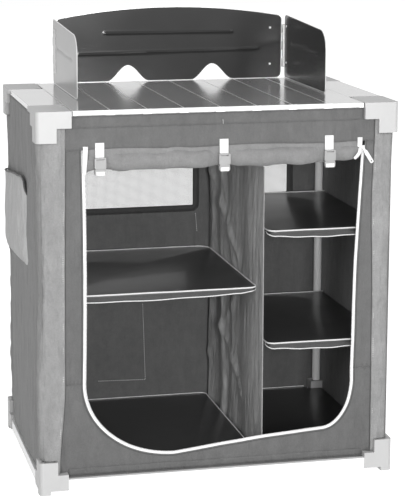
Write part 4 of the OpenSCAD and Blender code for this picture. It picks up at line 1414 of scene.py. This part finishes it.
# Door. One cloth panel, rolled up tight and held by three straps. It is a true
# roll of seven and a half turns, which the straps pinch and which sags between.
roll_cloth = cloth("roll_cloth", grey(122), contrast=0.26)
roll_low, roll_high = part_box("rolled_door")
roll_x0, roll_x1 = roll_low[0], roll_high[0]
PLUGS = ("left", "middle", "right")
strap_at = [sum(end[0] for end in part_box("buckle_plug_" + plug)) / 2 for plug in PLUGS]
roll_y = -0.238
roll_mid_z = roll_high[2] - 0.0235
roll_turns, roll_sides, roll_rings = 7.5, 32, 78
roll_half_deep, roll_half_tall = 0.0197, 0.0222
pinch_deep, pinch_tall = 0.0100, 0.0026


def strap_hold(x):
    """How firmly a strap holds the roll at x, from 0 to 1."""
    return max(exp(-((max(0, abs(x - s) - 0.0165) / 0.016) ** 2)) for s in strap_at)


def roll_place(x, turn):
    """A place on the rolled cloth: turn runs from the core outwards."""
    hold = strap_hold(x)
    share = 0.14 + 0.86 * turn / roll_turns
    angle = 2 * pi * turn + 2.1
    end = max(0, 1 - min(x - roll_x0, roll_x1 - x) / 0.030)
    left_end = max(0, 1 - (x - roll_x0) / 0.045)
    outer = max(0, turn / roll_turns * 4 - 3)
    ripple = 1 + 0.09 * outer * wander((x, angle * 0.02, 0), 0.035, 41) * (1 - 0.7 * hold)
    around = (x * 0.3, cos(angle) * 0.04, sin(angle) * 0.04)
    ripple += 0.07 * outer * (1 - 0.8 * hold) * wander(around, 0.02, 17)
    depth = (roll_half_deep - pinch_deep * hold) * (1 - 0.22 * end) * share * ripple
    right_end = max(0, 1 - (roll_x1 - x) / 0.055)
    half = (roll_half_tall - pinch_tall * hold) * (1 - 0.04 * end - 0.22 * right_end) * share * ripple
    mid = roll_mid_z - 0.0022 * (1 - hold) * (1 + 0.5 * sin(x * 80)) - 0.006 * left_end**2 + 0.003 * right_end
    lean = 0.0022 * sin(x * 31) * (1 - hold)
    spread = x + (0.004 * (turn / roll_turns - 0.5) * (1 if x > 0 else -1) * end)
    spread = max(roll_x0, min(roll_x1, spread))
    return Vector((spread, roll_y + depth * cos(angle) + lean, mid + half * sin(angle)))


bm = bmesh.new()
steps = int(roll_turns * roll_sides)
stations = [roll_x0 + (roll_x1 - roll_x0) * i / roll_rings for i in range(roll_rings + 1)]
bridge_rows(bm, ([roll_place(x, roll_turns * k / steps) for k in range(steps + 1)] for x in stations))
cloth_piece(
    "door_roll",
    bm,
    roll_cloth,
    "mid_fabric",
    ("rolled_door",),
    thickness=0.0007,
)

# The door's upper end: the same cloth, sewn behind the header, from where it
# runs down into the roll.
bm = bmesh.new()


def lead_place(x, t):
    """The place at x and a share of the way from the header down to the roll."""
    top_edge = Vector((x, front_y + 0.0012, opening_top - 0.004))
    foot = roll_place(max(roll_x0, min(roll_x1, x)), roll_turns - 0.30)
    mid = top_edge.lerp(foot, t)
    return mid + Vector((0, 0.0012 * sin(pi * t) * (1 + wander((x, 0, 0), 0.03, 3)), 0))


grid_wall(bm, roll_x0 + 0.002, roll_x1 - 0.002, 0, 1, 0.02, lead_place)
bmesh.ops.subdivide_edges(bm, edges=bm.edges[:], cuts=1, use_grid_fill=True)
lead_w = 0.60
lead_flat = (lead_w, sum(f.calc_area() for f in bm.faces) / lead_w)
cloth_piece("door_lead", bm, roll_cloth, "mid_fabric", thickness=0.0007)

# Straps. White webbing, each sewn above the door, led round the roll and back
# up behind it, with a side-release buckle in front. Its two halves slide apart.
webbing_white, tree, shader, place = new_material("webbing_white")
split = tree.nodes.new("ShaderNodeSeparateXYZ")
tree.links.new(place, split.inputs[0])
wale = calc(tree, "SINE", calc(tree, "MULTIPLY", split.outputs["X"], 2 * pi / 0.0016))
pick = calc(tree, "SINE", calc(tree, "MULTIPLY", split.outputs["Z"], 2 * pi / 0.0011))
rib = calc(tree, "MULTIPLY_ADD", calc(tree, "MULTIPLY", wale, pick), 0.05, 0.97)
soil = use_group(tree, blotch_group, place, Size=0.02, Contrast=0.10)
tinted(tree, shader, grey(232), rib, soil.outputs["Tone"])
bumped(tree, shader, calc(tree, "ADD", wale, pick), strength=0.3, distance=0.0002)
shader.inputs["Roughness"].default_value = 0.6

strap_front = front_y - 0.0013
strap_path = [
    (strap_front, opening_top + 0.009),
    (strap_front, roll_mid_z - 0.012),
    (strap_front + 0.0040, roll_mid_z - 0.0212),
    (roll_y + 0.0045, roll_mid_z - 0.0212),
    (roll_y + 0.0113, roll_mid_z - 0.012),
    (roll_y + 0.0113, roll_mid_z + 0.013),
    (front_y + 0.0016, opening_top + 0.001),
    (front_y + 0.0016, opening_top + 0.009),
]


def ribbon(bm, path, width, middle):
    """A flat ribbon along a path in y, z: middle(share) gives its centre line's x."""
    rows = []
    for k, p in enumerate(path):
        x = middle(k / (len(path) - 1))
        rows.append([Vector((x + width * (j / 6 - 0.5), p.x, p.y)) for j in range(7)])
    bridge_rows(bm, rows)


bm = bmesh.new()
smooth_path = evened(rounded(strap_path, (0, 0.006, 0.006, 0.006, 0.006, 0.006), 5), 0.0022)
strap_w = 0.0195
for at in strap_at:
    ribbon(bm, smooth_path, strap_w, lambda t, at=at: at + 0.0012 * sin(t * 9 + at * 20) * t)
cloth_piece(
    "strap_loops",
    bm,
    webbing_white,
    "webbing",
    ("roll_straps",),
    thickness=0.0011,
)

# Each strap's end is looped through its buckle's plug and sewn, and the strap
# itself is sewn to the header with two rows of dark thread.
for plug, at in zip(PLUGS, strap_at):
    body, node = "plug_" + plug, "buckle_plug_" + plug
    low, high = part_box(node)
    loop = (
        (low[1] - 0.0007, low[2] + 0.0078),
        (low[1] - 0.0008, low[2] - 0.0010),
        (high[1] + 0.0006, low[2] - 0.0012),
        (high[1] + 0.0004, low[2] + 0.0070),
    )
    path = evened(rounded(loop, (0.003, 0.003), 5), 0.0014)
    bm = bmesh.new()
    end_w = strap_w * 0.96
    ribbon(bm, path, end_w, lambda t, at=at: at + 0.0004 * t)
    cloth_piece(
        "strap_end_" + plug,
        bm,
        webbing_white,
        "webbing",
        thickness=0.0009,
        body=body,
    )
bm = bmesh.new()
for at in strap_at:
    for z in (opening_top + 0.0065, opening_top + 0.0005):
        ends = [Vector((at + x, strap_front - 0.0004, z)) for x in (-0.0075, 0.0075)]
        stitches(bm, ends, pitch=0.0026, width=0.0005)
piece("strap_stitches", bm, thread_dark_and_painted_shadow, "frame", "webbing")

# Buckles. Side-release buckles of moulded nylon, one on each strap: the socket
# stays on the strap, and the plug slides down out of it with the strap's end.
buckle_plastic = moulded("buckle_plastic", grey(150), roughness=0.35, grain=0.2)
softened("buckle_sockets", 0.0009, buckle_plastic, "frame", "buckle_plastic", shortest=0.002)
for plug in PLUGS:
    softened("buckle_plug_" + plug, 0.0008, buckle_plastic, "plug_" + plug, "buckle_plastic", shortest=0.002)

# Zip. A white tape with nylon teeth follows the opening's edge, sewn behind the
# front cloth. A thin dark cord along the opening's edge is painted shadow.
bm = bmesh.new()
zip_top = opening_top - 0.016
edge_in = opening_points(-0.0036, zip_top)
edge_out = opening_points(0.0070, zip_top)


def zip_place(x, z):
    """Just behind the front cloth, so that the tape follows its folds."""
    return front_place(x, z) + Vector((0, 0.0010, 0))


bridge_panel(bm, edge_out, edge_in, 2)
for v in bm.verts:
    v.co = zip_place(v.co.x, v.co.z)
cloth_piece(
    "zip_tape",
    bm,
    webbing_white,
    "webbing",
    ("door_zip",),
    thickness=0.0007,
)
bm = bmesh.new()
middle = evened(opening_points(-0.0034, zip_top), 0.0030)
tooth = Matrix.Diagonal((0.0018, 0.0016, 0.0030, 1))
for p, q in zip(middle, middle[1:]):
    spot = (p + q) / 2
    turn = Matrix.Rotation(-(q - p).angle_signed(Vector((1, 0))), 4, "Y")
    seat = Matrix.Translation(zip_place(spot.x, spot.y) + Vector((0, -0.0008, 0)))
    bmesh.ops.create_cube(bm, size=1, matrix=seat @ turn @ tooth)
piece("zip_teeth", bm, moulded("zip_nylon", grey(215), roughness=0.4, grain=0.1), "frame", "webbing")
# A thin dark cord just outside the opening's edge: painted shadow along it.
bm = bmesh.new()
seam_line = evened(opening_points(0.0058, opening_top - 0.004), 0.008)
tube(bm, [zip_place(p.x, p.y) + Vector((0, -0.0016, 0)) for p in seam_line], radius=0.0007, sides=5)
piece("zip_shadow_seam", bm, thread_dark_and_painted_shadow, "frame", "dark_fabric")

# Loose tape at both upper ends of the zip: flat on the left, and curled round
# the end of the roll on the right.
tape_ends = (
    ("left", 0.0108, 0.0070, ((-0.2923, 0.7588), (-0.2936, 0.730), (-0.2950, 0.699))),
    ("right", 0.0110, 0.0060, ((0.3150, 0.7595), (0.3152, 0.738), (0.3105, 0.724), (0.2990, 0.7145))),
)


def tape_forward(side, t):
    """How far the tape's end stands in front of the cloth, at a share of its length."""
    if side == "right":
        return 0.0012 + 0.0104 * max(0, min(1, (t - 0.52) * 4.4))
    return 0.0012 + 0.0012 * sin(pi * t)


for side, root_w, tip_w, course in tape_ends:
    centre = evened(rounded(course, (0.012,) * (len(course) - 2), 6), 0.0022)
    last = len(centre) - 1
    bm = bmesh.new()
    rows = []
    for k, p in enumerate(centre):
        t = k / last
        heading = (centre[min(k + 1, last)] - centre[max(k - 1, 0)]).normalized()
        across = Vector((-heading.y, heading.x)) * (root_w + (tip_w - root_w) * t**2)
        y = front_y - tape_forward(side, t)
        row = [p + across * (j / 4 - 0.5) for j in range(5)]
        rows.append([Vector((q.x, y - 0.0008 * sin(pi * j / 4), q.y)) for j, q in enumerate(row)])
    bridge_rows(bm, rows)
    name, flat = "zip_tape_" + side + "_end", (0.011, run_length(centre))
    cloth_piece(name, bm, webbing_white, "webbing", thickness=0.0007)

# Zip slider and pull. Both are cast metal with white paint, worn a little. The
# pull swings on a pin in the slider's bridge.
steel_white, tree, shader, place = new_material("steel_white")
scuff = use_group(tree, blotch_group, place, Size=0.006, Contrast=0.15)
tinted(tree, shader, grey(214), scuff.outputs["Tone"])
shader.inputs["Roughness"].default_value = 0.32
shader.inputs["Metallic"].default_value = 0.25
softened("zip_slider", 0.0006, steel_white, "frame", "webbing", shortest=0.0015)
softened("zip_pull", 0.0004, steel_white, "pull_tab", "webbing", shortest=0.0015)

# Side pocket. A pouch of light cloth on the left wall, open at its top, sewn
# down along its sides and foot and puffed out between them.
pocket_low, pocket_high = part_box("side_pocket")
pocket_rear, pocket_top = pocket_high[1], pocket_high[2]
pocket_rim = [(pocket_rear, 0.636), (-0.051, 0.667), (-0.088, 0.658), (-0.090, 0.627)]
pocket_side = [
    (-0.095, 0.588),
    (-0.086, 0.541),
    (-0.106, 0.484),
    (-0.092, 0.466),
    (0.060, 0.456),
    (pocket_rear, 0.446),
]
sewn = [pocket_rim[-1]] + pocket_side


def pocket_place(y, z):
    """The pouch's place at y, z: flat where it is sewn, puffed elsewhere."""
    spot = Vector((y, z))
    d = min(near_line(spot, Vector(a), Vector(b)) for a, b in zip(sewn, sewn[1:]))
    d = min(d, pocket_rear - y + 0.004)
    puff = 0.0150 * (1 - exp(-d / 0.020))
    high_up = max(0, (z - pocket_top + 0.055) / 0.055)
    puff *= 1 - 0.25 * high_up
    fold = 0.0030 * wander((0, y * 0.6, z), 0.05, 51) + 0.0018 * wander((0, y, z * 0.5), 0.02, 52)
    return Vector((pocket_high[0] - 0.0006 - puff + fold * min(1, d / 0.02), y, z))


bm = bmesh.new()
corner_sizes = (0.010, 0.008, 0.004, 0.01, 0.012, 0.008, 0.008, 0.02)
pocket_outline = rounded(pocket_rim + pocket_side, corner_sizes, 5)
outline_face(bm, [Vector((0, y, z)) for y, z in pocket_outline])
fine_grid(bm, 0.007, (1, 2), pocket_low, pocket_high)
for v in bm.verts:
    v.co = pocket_place(v.co.y, v.co.z)
pocket_cloth = cloth("pocket_cloth", grey(190), contrast=0.16, creases=0.7)
cloth_piece(
    "pocket_pouch",
    bm,
    pocket_cloth,
    "light_fabric",
    ("side_pocket",),
    thickness=0.0009,
)
bm = bmesh.new()
rim_line = evened(rounded(pocket_rim, (0.010, 0.008), 5), 0.006)
tube(bm, [pocket_place(p.x, p.y) + Vector((-0.0002, 0, 0.0004)) for p in rim_line], radius=0.0022, sides=8)
piece("pocket_rim", bm, thread_dark_and_painted_shadow, "frame", "dark_fabric")
bm = bmesh.new()
side_line = evened(rounded(sewn, (0.01, 0.01, 0.008, 0.008, 0.02), 5), 0.006)
tube(bm, [Vector((pocket_high[0] - 0.0012, p.x, p.y)) for p in side_line], radius=0.0011, sides=6)
piece("pocket_seam", bm, strip_cloth, "frame", "light_fabric")
